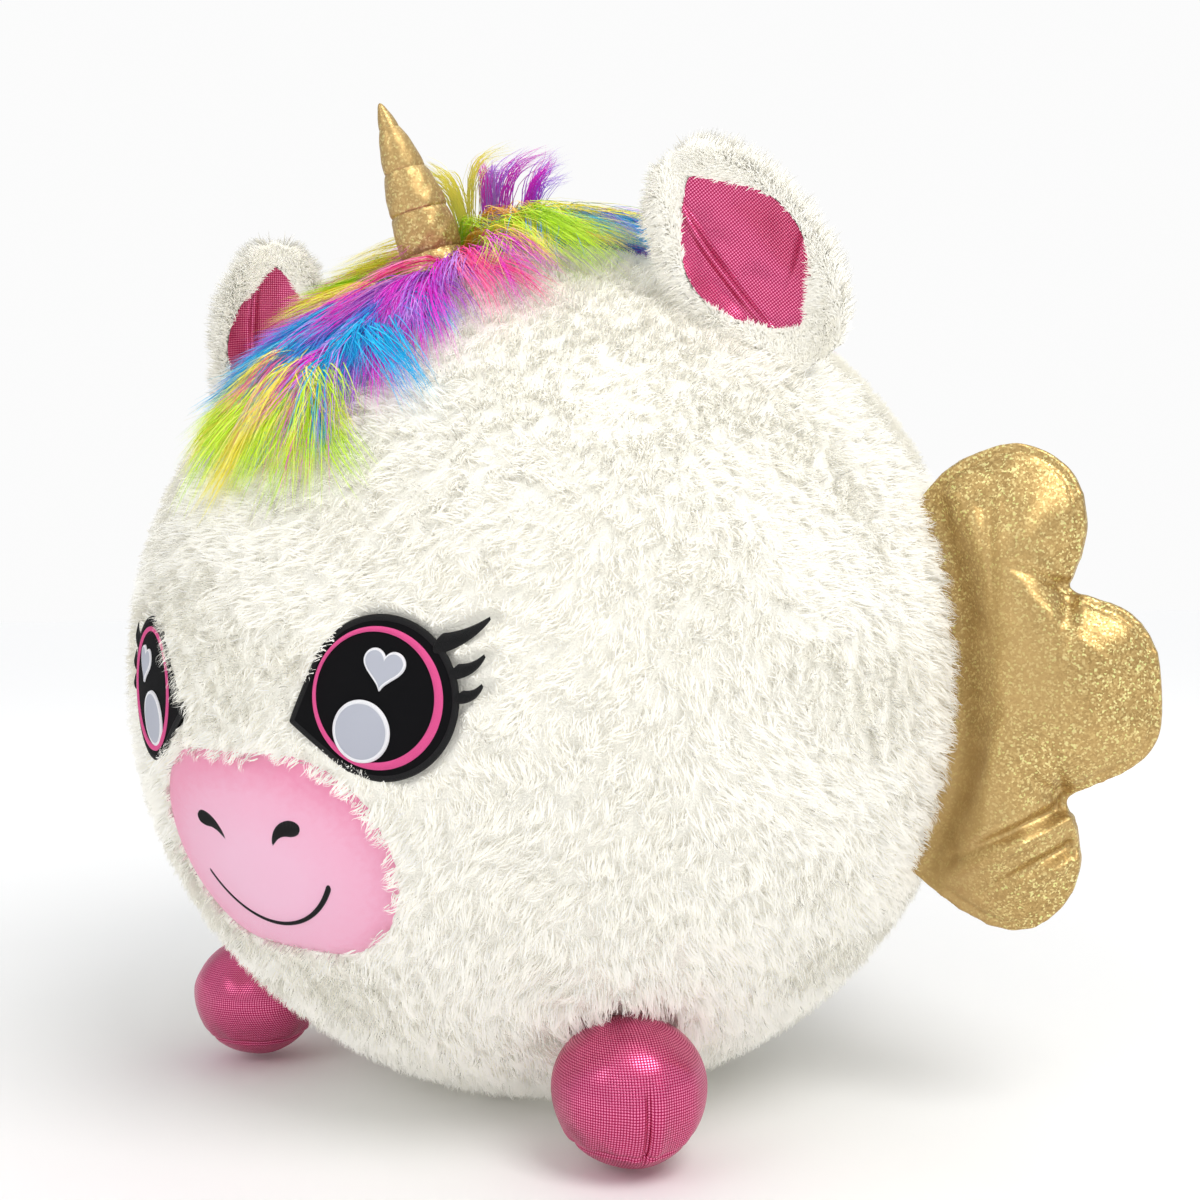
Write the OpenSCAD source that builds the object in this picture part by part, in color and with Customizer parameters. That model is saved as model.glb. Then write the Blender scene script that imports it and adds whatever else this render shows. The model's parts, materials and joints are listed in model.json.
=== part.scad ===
// Plush unicorn on a round, air-filled ball: zipped plush cover, wound horn, mane, ears, wings and feet.
// Origin: on the ground below the centre of the ball. +Z is up, the face looks along -Y.

/* [Ball] */
// Outer radius of the ball, over the tips of the pile
ball_r = 248; // [245:1:252]
// Height of the ball's centre above the ground
ball_z = 238; // [236:1:240]
// Length of the plush pile with its backing
pile = 16; // [14:1:16]
// Wall of the inflatable ball
ball_wall = 1.2; // [0.8:0.1:2]

/* [Cover panels] */
// Half angle of the front panel
front_edge = 40; // [38:1:44]
// Angle from the face to the seam that holds each wing
wing_seam = 101; // [98:1:104]

/* [Face] */
// Turn of the sewn face to the unicorn's left
face_turn = 1.7; // [0:0.1:3]
// Angle from the middle of the face to each eye
eye_az = 20.8; // [20:0.1:22]
// Height angle of the eyes
eye_el = -1; // [-3:0.5:1]
// Outer radius of the eye's pink ring
eye_ring_r = 33; // [30:0.5:34]
// Height angle of the middle of the muzzle
muzzle_el = -20.5; // [-22:0.5:-19]
// Half height of the muzzle patch
muzzle_r = 56; // [50:1:58]
// Half of the muzzle's straight middle
muzzle_side = 28; // [22:1:30]

/* [Horn] */
// Height angle at which the horn stands
horn_el = 66.5; // [64:0.5:68]
// Radius of the horn's base
horn_r = 25.5; // [22:0.5:27]
// Length of the horn from the cover's backing to its tip
horn_h = 98; // [85:1:105]
// Number of puffed bands between the windings
horn_bands = 5; // [4:1:6]

/* [Mane] */
// Half width of the mane strip
mane_w = 36; // [30:1:38]
// Radius to the top of the mane's pile
mane_r = 284; // [276:1:288]
// First and last angle of the mane, from the face over the top to the back
mane_a0 = 34; // [32:1:38]
mane_a1 = 150; // [140:1:155]

/* [Ears] */
// Thickness of the plush at the back of an ear
ear_back_t = 6; // [5:0.5:7]
// Width of the plush border round the ear's lining
ear_border = 8; // [6:1:10]
// How far the body of an ear starts above the cover's backing
ear_gap = 18; // [17:1:20]

/* [Wings] */
// Heading of each wing, from the face
wing_heading = 108; // [106:1:110]
// Thickness of a stuffed wing
wing_t = 20; // [16:1:22]
// Width of the flat sewn root band
wing_root_w = 20; // [20:1:24]
// Cloth thickness
cloth = 1.2; // [1:0.1:1.5]

/* [Feet] */
// Radius of a ball foot
foot_r = 36; // [34:1:37]
// Heading of each foot from the face
foot_az = 53; // [50:1:56]
// Distance of a foot from the ball's centre
foot_reach = 274.6; // [272:0.2:276]
// Height of a foot's centre above the ground
foot_z = 35; // [33.5:0.5:35.5]

/* [Zip and valve] */
// Angle of the zip's ends below the level of the ball's centre, at the back
zip_a0 = 18; // [16:1:20]
zip_a1 = 62; // [58:1:62]
// Half width of the zip's opening
zip_slot = 7.2; // [7:0.1:8]
// Angle of the closed slider
slider_a = 22; // [21:1:24]
// Angle of the inflation valve, behind the zip
valve_a = 38; // [34:1:44]

/* [Tail] */
// Height angle of the tail's root
tail_el = 12; // [10:1:14]

/* [Hidden] */
$fn = 96;

fit = 0.2;                      // gap between sewn neighbours
inner_r = ball_r - pile;        // inside of the cover
skin_r = inner_r + 6;           // top of the cover's backing and of trimmed pile
air_r = inner_r - 0.6;          // outside of the inflatable ball
base_gap = 10;                  // cover squashed between the inflatable ball and the ground
seam_r = skin_r + 3;            // radius at which ears, wings and tail are hinged by their seams
patch_t = 2;                    // thickness of a face patch
muzzle_t = 5;                   // thickness of the muzzle's short pile
patch_r = skin_r + patch_t;
muzzle_top = skin_r + muzzle_t;
big = 700;

cream = [0.95, 0.94, 0.89];
pink = [0.93, 0.62, 0.75];
gold = [0.78, 0.64, 0.36];
rose = [0.82, 0.22, 0.45];
grey = [0.8, 0.81, 0.86];

// ---- places on the ball ----

// local +Z points out of the ball, +Y up and +X towards the unicorn's left
module on_ball(az, el) {
    translate([0, 0, ball_z])
        rotate([0, 0, az - 90])
            rotate([0, -el, 0])
                rotate([90, 0, 90])
                    children();
}

module ball_centre() {
    translate([0, 0, ball_z]) children();
}

// a 2D profile (radius, x) swept over the top, from the face at 0 degrees to the back at 180
module over_the_top(a0, a1) {
    ball_centre()
        rotate([90, 0, -90])
            rotate([0, 0, a0])
                rotate_extrude(angle = a1 - a0, $fn = 144)
                    children();
}

// a 2D profile (radius, x) swept down the back, from the level of the centre downwards
module down_the_back(a0, a1) {
    ball_centre()
        rotate([-90, 0, 90])
            rotate([0, 0, a0])
                rotate_extrude(angle = a1 - a0, $fn = 144)
                    children();
}

module shell(r0, r1) {
    ball_centre()
        difference() {
            sphere(r1, $fn = 144);
            sphere(r0, $fn = 144);
        }
}

// a flat outline cut out of a layer of the ball
module patch(az, el, r0, r1) {
    intersection() {
        shell(r0, r1);
        on_ball(az, el) translate([0, 0, inner_r - 40]) linear_extrude(90) children();
    }
}

module sided(side) {
    mirror([side < 0 ? 1 : 0, 0, 0]) children();
}

// ---- inflatable ball and valve ----

valve_cup_r = 9;
valve_bore = 2.7;
valve_depth = 14;
plug_head_r = 5.8;

module air_ball() {
    color("whitesmoke")
        difference() {
            intersection() {
                shell(air_r - ball_wall, air_r);
                translate([0, 0, base_gap + big / 2]) cube(big, center = true);
            }
            at_valve(air_r - 10) cylinder(h = 30, r = valve_cup_r);
        }
    color("whitesmoke")
        translate([0, 0, base_gap])
            cylinder(h = ball_wall, r = base_disc(air_r, base_gap));
}

function base_disc(r, z) = sqrt(pow(r, 2) - pow(ball_z - z, 2));

module at_valve(r) {
    on_ball(180, -valve_a) translate([0, 0, r]) children();
}

module valve_seat() {
    color("lightgrey")
        difference() {
            at_valve(air_r - valve_depth) cylinder(h = valve_depth - 0.4, r = valve_cup_r);
            at_valve(air_r - 2) cylinder(h = 5, r = plug_head_r + 0.7);
            at_valve(air_r - 40) cylinder(h = 60, r = valve_bore);
        }
}

module valve_plug() {
    color("white") {
        at_valve(air_r - 1.7) cylinder(h = 1.5, r = plug_head_r);
        at_valve(air_r - 12) cylinder(h = 11, r = valve_bore - 0.35);
    }
}

// ---- cover ----

module gore_profile() {
    intersection() {
        difference() {
            translate([0, ball_z]) circle(ball_r, $fn = 144);
            intersection() {
                translate([0, ball_z]) circle(inner_r, $fn = 144);
                translate([-big / 2, base_gap - 0.6]) square(big);
            }
        }
        square(big);
    }
}

module gore(a0, a1) {
    rotate([0, 0, a0 - 90])
        rotate_extrude(angle = a1 - a0, $fn = 144)
            gore_profile();
}

module mane_channel() {
    over_the_top(mane_a0 - 0.2, mane_a1 + 0.2)
        translate([skin_r, -mane_w - fit])
            square([40, 2 * (mane_w + fit)]);
}

module front_panel() {
    color(cream)
        difference() {
            gore(-front_edge, front_edge);
            patch(face_turn, muzzle_el, skin_r, ball_r + 9) muzzle_outline(fit);
            for (side = [-1, 1])
                patch(eye_place(side), eye_el, skin_r, ball_r + 9)
                    sided(side) {
                        eye_outline(fit);
                        lash_pocket();
                    }
            on_ball(face_turn, horn_el)
                translate([0, 0, skin_r]) cylinder(h = 40, r = horn_r + fit);
            mane_channel();
        }
}

module side_panel() {
    difference() {
        gore(front_edge, wing_seam);
        mane_channel();
        wing_channel();
        on_ball(foot_az, foot_el) translate([0, 0, skin_r]) cylinder(h = 40, r = foot_neck_r + fit);
    }
}

module side_panel_left() {
    color(cream)
        difference() {
            side_panel();
            ear_channel(left_ear);
        }
}

module side_panel_right() {
    color(cream)
        difference() {
            mirror([1, 0, 0]) side_panel();
            ear_channel(right_ear);
        }
}

module back_panel() {
    difference() {
        gore(wing_seam, 180);
        mane_channel();
        wing_channel();
        tail_channel();
        down_the_back(zip_a0 - 2, zip_a1 + 2)
            translate([inner_r - 5, -zip_slot])
                square([40, 2 * zip_slot]);
        down_the_back(zip_a0 - 2, zip_a1 + 2)
            translate([tape_r - 0.1, -tape_w - fit])
                square([tape_t + 0.2, 2 * (tape_w + fit)]);
    }
}

module back_panel_left() {
    color(cream) back_panel();
}

module back_panel_right() {
    color(cream)
        difference() {
            mirror([1, 0, 0]) back_panel();
            at_label() label_tab(fit);
        }
}

// ---- zip ----

tape_r = inner_r + 4;
tape_t = 1;
tape_w = 13;
coil_wire = 1.3;
coil_x = 1.65;
coil_r = tape_r + tape_t + coil_wire;
slider_top = coil_r + coil_wire + 1.8;
slider_half = 1.7;              // half length of the slider, as an angle
lug_x = 2.2;
pull_pin_r = slider_top + 1.6;  // radius at which the pull's pin lies
pull_l = 19;

module zip_tape(side) {
    color("white")
        down_the_back(zip_a0 - 1.5, zip_a1 + 1.5)
            translate([tape_r, side > 0 ? -tape_w : 1])
                square([tape_t, tape_w - 1]);
}

module zip_tape_left() {
    zip_tape(1);
}

module zip_tape_right() {
    zip_tape(-1);
}

module zip_coil(side) {
    color("ivory")
        down_the_back(zip_a0 + 0.5, zip_a1 - 0.5)
            translate([coil_r, -side * coil_x])
                circle(coil_wire, $fn = 24);
}

module zip_coil_left() {
    zip_coil(1);
}

module zip_coil_right() {
    zip_coil(-1);
}

// one stop across both coils at each end
module zip_stops() {
    color("silver")
        for (a = [zip_a0 - 0.3, zip_a1 - 0.45])
            down_the_back(a, a + 0.75)
                translate([tape_r + tape_t, -3.4])
                    square([3, 6.8]);
}

module zip_slider() {
    a0 = slider_a - slider_half;
    a1 = slider_a + slider_half;
    color("silver") {
        down_the_back(a0, a1)
            difference() {
                translate([tape_r + tape_t + 0.4, -4.6]) square([slider_top - tape_r - tape_t - 0.4, 9.2]);
                translate([tape_r, -3.4]) square([coil_r + coil_wire + 0.4 - tape_r, 6.8]);
            }
        for (side = [-1, 1])
            down_the_back(slider_a - 0.5, slider_a + 0.5)
                translate([slider_top - 0.2, side > 0 ? lug_x + 0.3 : -lug_x - 1.3])
                    square([3.2, 1]);
        at_pull_pin() cylinder(h = 2 * lug_x + 1.4, r = 0.6, center = true, $fn = 24);
    }
}

// the pin's axis lies along X; local +X points straight down
module at_pull_pin() {
    translate([0, pull_pin_r * cos(slider_a), ball_z - pull_pin_r * sin(slider_a)])
        rotate([0, 90, 0])
            children();
}

module zip_pull() {
    color("silver")
        at_pull_pin()
            difference() {
                union() {
                    cylinder(h = 2 * lug_x, r = 1.6, center = true, $fn = 24);
                    translate([pull_l / 2, 0, 0]) cube([pull_l, 1.4, 2 * lug_x], center = true);
                    translate([pull_l, 0.7, 0])
                        rotate([90, 0, 0]) cylinder(h = 1.4, r = 3.4, $fn = 32);
                }
                cylinder(h = 20, r = 0.9, center = true, $fn = 24);
                translate([pull_l, 5, 0]) rotate([90, 0, 0]) cylinder(h = 10, r = 1.7, $fn = 24);
            }
}

// blank folded label sewn into the right back panel's edge, below the zip's side
module care_label() {
    color("white")
        at_label() {
            translate([-9, -16, ball_r + 0.4]) cube([18, 32, 0.6]);
            label_tab(0);
        }
}

module at_label() {
    on_ball(-wing_seam - 8, -38) children();
}

module label_tab(grow) {
    translate([-9 - grow, 14 - grow, skin_r - 0.3])
        cube([18 + 2 * grow, 0.6 + 2 * grow, ball_r - skin_r + 1]);
}

// ---- muzzle ----

nostril_az = 8;
nostril_el = -16.2;
smile_r = 55;
smile_el = -24;

module muzzle_outline(grow) {
    hull() {
        translate([-muzzle_side, 0]) circle(muzzle_r + grow, $fn = 64);
        translate([muzzle_side, 0]) circle(muzzle_r + grow, $fn = 64);
    }
}

module muzzle_patch() {
    color(pink) patch(face_turn, muzzle_el, skin_r, muzzle_top) muzzle_outline(0);
}

module nostril(side) {
    color("black")
        patch(face_turn + side * nostril_az, nostril_el, muzzle_top, muzzle_top + 1.2)
            sided(side)
                hull() {
                    circle(5, $fn = 32);
                    translate([-15, -9]) circle(1.2, $fn = 24);
                }
}

module nostril_left() {
    nostril(1);
}

module nostril_right() {
    nostril(-1);
}

module smile() {
    color("black")
        patch(face_turn, smile_el, muzzle_top, muzzle_top + 1.2)
            intersection() {
                translate([0, smile_r - 21])
                    difference() {
                        circle(smile_r + 1.4);
                        circle(smile_r - 1.4);
                    }
                translate([-big / 2, 17 - big]) square(big);
            }
}

// ---- eyes ----

function eye_place(side) = face_turn + side * eye_az;

module eye_outline(grow) {
    hull() {
        translate([1.5, 0]) circle(eye_ring_r + 5 + grow, $fn = 64);
        translate([-45, -11]) circle(1.5 + grow, $fn = 16);
    }
}

// three lashes at the outer corner: start, end
lashes = [[[30, 26], [54, 38]], [[37, 14], [53, 22]], [[39, 2], [52, 8]]];

module lash_outline(grow) {
    for (lash = lashes)
        hull() {
            translate(lash[0]) circle(3.2 + grow, $fn = 16);
            translate(lash[1]) circle(0.8 + grow, $fn = 16);
        }
}

// trimmed pile round all three lashes
module lash_pocket() {
    hull()
        for (lash = lashes) {
            translate(lash[0]) circle(3.2 + fit, $fn = 16);
            translate(lash[1]) circle(0.8 + fit, $fn = 16);
        }
}

module at_eye(side, r0, r1) {
    patch(eye_place(side), eye_el, r0, r1) sided(side) children();
}

module eye_patch(side) {
    color("black") at_eye(side, skin_r, patch_r) eye_outline(0);
}

module eye_ring(side) {
    color(pink)
        at_eye(side, patch_r, patch_r + 1.2)
            difference() {
                circle(eye_ring_r);
                translate([-1.5, 0]) circle(eye_ring_r - 5);
            }
}

module eye_heart(side) {
    color(grey)
        at_eye(side, patch_r, patch_r + 1)
            translate([4.5, 14])
                hull_heart(6.2);
}

module hull_heart(r) {
    for (s = [-1, 1])
        hull() {
            translate([s * r * 0.75, r * 0.7]) circle(r * 0.85, $fn = 32);
            translate([-r * 0.2, -r * 1.5]) circle(r * 0.2, $fn = 16);
        }
}

module eye_spot(side) {
    color(grey)
        at_eye(side, patch_r, patch_r + 1)
            translate([-6, -14]) circle(13);
}

module eye_lashes(side) {
    color("black")
        difference() {
            at_eye(side, skin_r, patch_r) lash_outline(0);
            at_eye(side, skin_r - 1, patch_r + 1) eye_outline(fit / 2);
        }
}

module eye_patch_left() {
    eye_patch(1);
}

module eye_ring_left() {
    eye_ring(1);
}

module eye_heart_left() {
    eye_heart(1);
}

module eye_spot_left() {
    eye_spot(1);
}

module eye_lashes_left() {
    eye_lashes(1);
}

module eye_patch_right() {
    eye_patch(-1);
}

module eye_ring_right() {
    eye_ring(-1);
}

module eye_heart_right() {
    eye_heart(-1);
}

module eye_spot_right() {
    eye_spot(-1);
}

module eye_lashes_right() {
    eye_lashes(-1);
}

// ---- horn ----

horn_steps = 40;
horn_tip_r = 1.2;

function horn_line(z) = horn_tip_r + (horn_r - horn_tip_r) * pow(max(1 - z / horn_h, 0), 0.6);
function horn_puff(z) = 1.3 * abs(sin(180 * horn_bands * z / horn_h)) - 1.3;
function horn_outline(inset) = [
    for (i = [0 : horn_steps])
        let (z = (horn_h - inset) * i / horn_steps)
        [max(horn_line(z) + (i == 0 || i == horn_steps ? 0 : horn_puff(z)) - inset, 0.4), z]
];

module at_horn() {
    on_ball(face_turn, horn_el) translate([0, 0, skin_r + 0.4]) children();
}

module horn_body(inset) {
    rotate_extrude()
        polygon(concat([[0, 0]], horn_outline(inset), [[0, horn_h - inset]]));
}

module horn_cover() {
    color(gold)
        at_horn()
            difference() {
                horn_body(0);
                translate([0, 0, -0.01]) horn_body(cloth + 0.4);
            }
}

module horn_filling() {
    color("white") at_horn() horn_body(cloth + 0.6);
}

// wound thread that pulls the horn in between its bands
module horn_windings() {
    color([0.62, 0.5, 0.26])
        at_horn()
            for (i = [1 : horn_bands - 1]) {
                z = horn_h * i / horn_bands;
                translate([0, 0, z])
                    rotate_extrude() translate([horn_line(z) - 1.3 + 0.55, 0]) circle(0.5, $fn = 16);
            }
}

// ---- mane and tail ----

mane_crown = 40;                // radius of the mane's rounded cross-section

module mane_profile() {
    intersection() {
        translate([mane_r - mane_crown, 0]) circle(mane_crown);
        translate([skin_r + fit, -mane_w]) square([60, 2 * mane_w]);
    }
}

module mane() {
    color("orchid")
        difference() {
            over_the_top(mane_a0, mane_a1) mane_profile();
            on_ball(face_turn, horn_el)
                translate([0, 0, skin_r - 1]) cylinder(h = 80, r = horn_r + fit);
        }
}

tail_w = 15;
tail_root = [0, seam_r * cos(tail_el), ball_z + seam_r * sin(tail_el)];

module tail_channel() {
    on_ball(180, tail_el)
        translate([-tail_w - 3, -9, skin_r]) cube([2 * tail_w + 6, 16, 40]);
}

module tail() {
    color("mediumturquoise")
        difference() {
            hull() {
                translate([0, 263, 286]) sphere(9, $fn = 32);
                translate([0, 274, 235]) sphere(26, $fn = 32);
                translate([0, 268, 170]) sphere(12, $fn = 32);
            }
            ball_centre() sphere(ball_r + 2, $fn = 96);
        }
    color("mediumturquoise")
        on_ball(180, tail_el)
            translate([-tail_w, -1, seam_r])
                cube([2 * tail_w, 2, 22]);
}

// ---- ears ----

// each ear: foot of its leaf, tip of its leaf, the way its lining faces, half width
left_ear = [[200, -14, 395], [148, -70, 498], [0.43, -0.87, -0.24], 42];
right_ear = [[-192, -59, 366], [-158, -85, 503], [0.75, -0.59, -0.29], 42];

function unit(v) = v / norm(v);

// local Y runs from foot to tip and local Z the way the lining faces
module at_ear(ear) {
    y = unit(ear[1] - ear[0]);
    z = unit(ear[2] - y * (ear[2] * y));
    x = cross(y, z);
    o = ear[0];
    multmatrix([
        [x[0], y[0], z[0], o[0]],
        [x[1], y[1], z[1], o[1]],
        [x[2], y[2], z[2], o[2]]
    ])
        children();
}

// a leaf with both ends pointed, from two arcs
module leaf(ear, inset) {
    half = norm(ear[1] - ear[0]) / 2;
    r = (pow(half, 2) + pow(ear[3], 2)) / (2 * ear[3]);
    intersection() {
        translate([r - ear[3], half]) circle(r - inset);
        translate([ear[3] - r, half]) circle(r - inset);
    }
}

module ear_layer(ear, z0, z1, inset, hem = 0) {
    difference() {
        at_ear(ear) translate([0, 0, z0]) linear_extrude(z1 - z0) leaf(ear, inset);
        ball_centre() sphere(skin_r + ear_gap + hem, $fn = 96);
    }
}

// thin sewn strip that holds the ear in the cover
module ear_root(ear) {
    intersection() {
        at_ear(ear) translate([0, 0, -1]) linear_extrude(2) leaf(ear, 6);
        shell(seam_r, skin_r + ear_gap + 1);
    }
}

module ear_channel(ear) {
    intersection() {
        at_ear(ear) translate([0, 0, -13]) linear_extrude(23) leaf(ear, -3);
        shell(skin_r, ball_r + 9);
    }
}

pad_t = 3;                      // wadding between an ear's lining and its back
ear_hem = 3;                    // plush folded under along the foot of an ear

module ear_back(ear) {
    color(cream) {
        difference() {
            ear_layer(ear, -ear_back_t, 2, 0);
            ear_layer(ear, -pad_t, 3, ear_border, ear_hem);
        }
        ear_root(ear);
    }
}

module ear_lining(ear) {
    color(rose) ear_layer(ear, 0.2, 1.4, ear_border + fit, ear_hem + fit);
}

module ear_wadding(ear) {
    color("white") ear_layer(ear, -pad_t + fit, 0, ear_border + fit, ear_hem + fit);
}

module ear_back_left() {
    ear_back(left_ear);
}

module ear_lining_left() {
    ear_lining(left_ear);
}

module ear_wadding_left() {
    ear_wadding(left_ear);
}

module ear_back_right() {
    ear_back(right_ear);
}

module ear_lining_right() {
    ear_lining(right_ear);
}

module ear_wadding_right() {
    ear_wadding(right_ear);
}

// ---- wings ----

// three lobes: distance out from the root seam, height, radius
wing_lobes = [[36, 316, 38], [62, 225, 49], [30, 138, 37]];
// cloth that joins the lobes to the seam: it starts behind the seam so that it follows the ball
function wing_web(inset) = [
    [-14 + inset, 125 + inset],
    [12, 108 + inset],
    [30, 138],
    [60 - inset, 156],
    [57 - inset, 172],
    [62, 225],
    [62 - inset, 275],
    [36, 316],
    [18, 348 - inset],
    [-14 + inset, 322 - inset]
];

// local X runs out along the wing, local Y up and local Z to the front
module at_wing() {
    rotate([0, 0, wing_seam - 90])
        translate([seam_r, 0, 0])
            rotate([0, 0, wing_heading - wing_seam])
                rotate([90, 0, 0])
                    children();
}

module wing_channel() {
    on_ball(wing_seam, 0)
        translate([-12, -117, skin_r - 60]) cube([24, 205, 100]);
}

module wing_outline(inset) {
    for (lobe = wing_lobes)
        translate([lobe[0], lobe[1]]) circle(lobe[2] - inset);
    polygon(wing_web(inset));
}

module wing_slab(z0, z1, x0, inset) {
    intersection() {
        translate([0, 0, z0]) linear_extrude(z1 - z0) wing_outline(inset);
        translate([x0, 0, z0]) cube([300, big, z1 - z0]);
    }
}

// one face of the wing: a tray of cloth with a flat band where it is sewn in
module wing_face() {
    difference() {
        wing_slab(0.1, wing_t / 2, -20, 0);
        wing_slab(0, wing_t / 2 - cloth, wing_root_w + cloth, cloth);
        translate([-20, 0, cloth + 0.1]) cube([wing_root_w + 20, big, wing_t]);
    }
}

// the wing's root follows the ball
module wing_clear_of_ball() {
    difference() {
        children();
        ball_centre() sphere(seam_r, $fn = 96);
    }
}

module wing_front_left() {
    color(gold) wing_clear_of_ball() at_wing() wing_face();
}

module wing_back_left() {
    color(gold) wing_clear_of_ball() at_wing() mirror([0, 0, 1]) wing_face();
}

module wing_wadding_left() {
    color("white")
        at_wing()
            wing_slab(-wing_t / 2 + cloth + fit, wing_t / 2 - cloth - fit, wing_root_w + cloth + fit, cloth + fit);
}

module wing_front_right() {
    mirror([1, 0, 0]) wing_front_left();
}

module wing_back_right() {
    mirror([1, 0, 0]) wing_back_left();
}

module wing_wadding_right() {
    mirror([1, 0, 0]) wing_wadding_left();
}

// ---- feet ----

foot_el = -asin((ball_z - foot_z) / foot_reach);
foot_neck_r = 24;

module foot_body(inset) {
    intersection() {
        union() {
            on_ball(foot_az, foot_el) {
                translate([0, 0, foot_reach]) sphere(foot_r - inset);
                translate([0, 0, skin_r + 0.4]) cylinder(h = 30, r = foot_neck_r - inset);
            }
        }
        translate([-big / 2, -big / 2, inset]) cube(big);
    }
}

module foot_pile_seat() {
    difference() {
        ball_centre() sphere(ball_r + fit, $fn = 96);
        on_ball(foot_az, foot_el) cylinder(h = foot_reach, r = foot_neck_r);
    }
}

module foot_cover_left() {
    color(rose)
        difference() {
            foot_body(0);
            foot_body(cloth);
            foot_pile_seat();
        }
}

module foot_filling_left() {
    color("white")
        difference() {
            foot_body(cloth + fit);
            foot_pile_seat();
        }
}

module foot_cover_right() {
    mirror([1, 0, 0]) foot_cover_left();
}

module foot_filling_right() {
    mirror([1, 0, 0]) foot_filling_left();
}

// ---- nodes ----

air_ball();
valve_seat();
valve_plug();
front_panel();
side_panel_left();
side_panel_right();
back_panel_left();
back_panel_right();
zip_tape_left();
zip_tape_right();
zip_coil_left();
zip_coil_right();
zip_stops();
zip_slider();
zip_pull();
care_label();
muzzle_patch();
nostril_left();
nostril_right();
smile();
eye_patch_left();
eye_ring_left();
eye_heart_left();
eye_spot_left();
eye_lashes_left();
eye_patch_right();
eye_ring_right();
eye_heart_right();
eye_spot_right();
eye_lashes_right();
horn_cover();
horn_filling();
horn_windings();
mane();
tail();
ear_back_left();
ear_lining_left();
ear_wadding_left();
ear_back_right();
ear_lining_right();
ear_wadding_right();
wing_front_left();
wing_back_left();
wing_wadding_left();
wing_front_right();
wing_back_right();
wing_wadding_right();
foot_cover_left();
foot_filling_left();
foot_cover_right();
foot_filling_right();
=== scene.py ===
import bpy
import math
import json
import numpy as np
from mathutils import Vector, Matrix


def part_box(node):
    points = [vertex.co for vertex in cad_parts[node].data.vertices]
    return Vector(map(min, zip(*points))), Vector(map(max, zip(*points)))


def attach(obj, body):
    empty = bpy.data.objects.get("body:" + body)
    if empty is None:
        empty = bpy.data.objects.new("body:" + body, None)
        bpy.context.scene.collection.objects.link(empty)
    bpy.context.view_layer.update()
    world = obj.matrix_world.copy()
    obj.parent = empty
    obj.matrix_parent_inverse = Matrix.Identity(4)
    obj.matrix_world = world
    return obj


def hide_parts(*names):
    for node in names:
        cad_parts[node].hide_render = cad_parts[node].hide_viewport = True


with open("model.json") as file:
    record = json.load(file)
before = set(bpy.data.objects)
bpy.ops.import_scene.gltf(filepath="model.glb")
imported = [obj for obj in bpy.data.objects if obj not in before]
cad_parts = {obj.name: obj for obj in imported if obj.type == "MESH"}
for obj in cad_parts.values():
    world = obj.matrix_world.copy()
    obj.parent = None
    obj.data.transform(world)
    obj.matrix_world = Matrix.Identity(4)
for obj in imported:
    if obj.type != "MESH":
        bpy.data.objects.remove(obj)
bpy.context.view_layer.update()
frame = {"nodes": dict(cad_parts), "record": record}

# ---------------------------------------------------------------- sizes taken from the frame

MM = 0.001
PANELS = ["front_panel", "side_panel_left", "side_panel_right", "back_panel_left", "back_panel_right"]
panel_boxes = [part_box(name) for name in PANELS]
BALL_R = max(hi.x for lo, hi in panel_boxes)          # over the tips of the pile
BALL_Z = max(hi.z for lo, hi in panel_boxes) - BALL_R
PILE = 16 * MM
SKIN_R = BALL_R - PILE + 6 * MM                       # top of the cover's backing
CENTRE = np.array([0.0, 0.0, BALL_Z])
FACE_TURN = 1.7                                       # the face is sewn on slightly turned
rng = np.random.default_rng(7)


def on_ball(az, el, r=1.0):
    """A point on the ball, from degrees from the face towards the unicorn's left, and degrees up."""
    a, e = np.radians(az), np.radians(el)
    out = np.stack([np.sin(a) * np.cos(e), -np.cos(a) * np.cos(e), np.sin(e) + 0 * a], -1)
    return CENTRE + out * np.asarray(r)[..., None]


def unit(v):
    v = np.asarray(v, float)
    return v / np.linalg.norm(v, axis=-1, keepdims=True).clip(1e-12)


def hill(x, width):
    """1 where x is 0, and 0 well beyond the width to either side."""
    return np.exp(-(x / width) ** 2)


def rises(x, at, width):
    """From 0 to 1 as x passes a value."""
    return 1 / (1 + np.exp((at - x) / width))


def falls(x, at, width):
    return 1 / (1 + np.exp((x - at) / width))


def rounded(t):
    """A quarter circle: from 0 to 1 as t goes from 0 to 1, and 1 beyond."""
    return np.sqrt(1 - (1 - t.clip(0, 1)) ** 2)


# ---------------------------------------------------------------- camera, light and floor

CAM_AZ, CAM_EL, CAM_ROLL = 42.1, 2.3, -0.65
CAM_DISTANCE = 0.8925
CAM_LENS = 44.16
CAM_AIM = (0.0273, 0.0400)        # how far right of and above the ball's centre it looks


def linked(name, data):
    """A new object in the scene for some data."""
    obj = bpy.data.objects.new(name, data)
    bpy.context.collection.objects.link(obj)
    return obj


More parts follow.
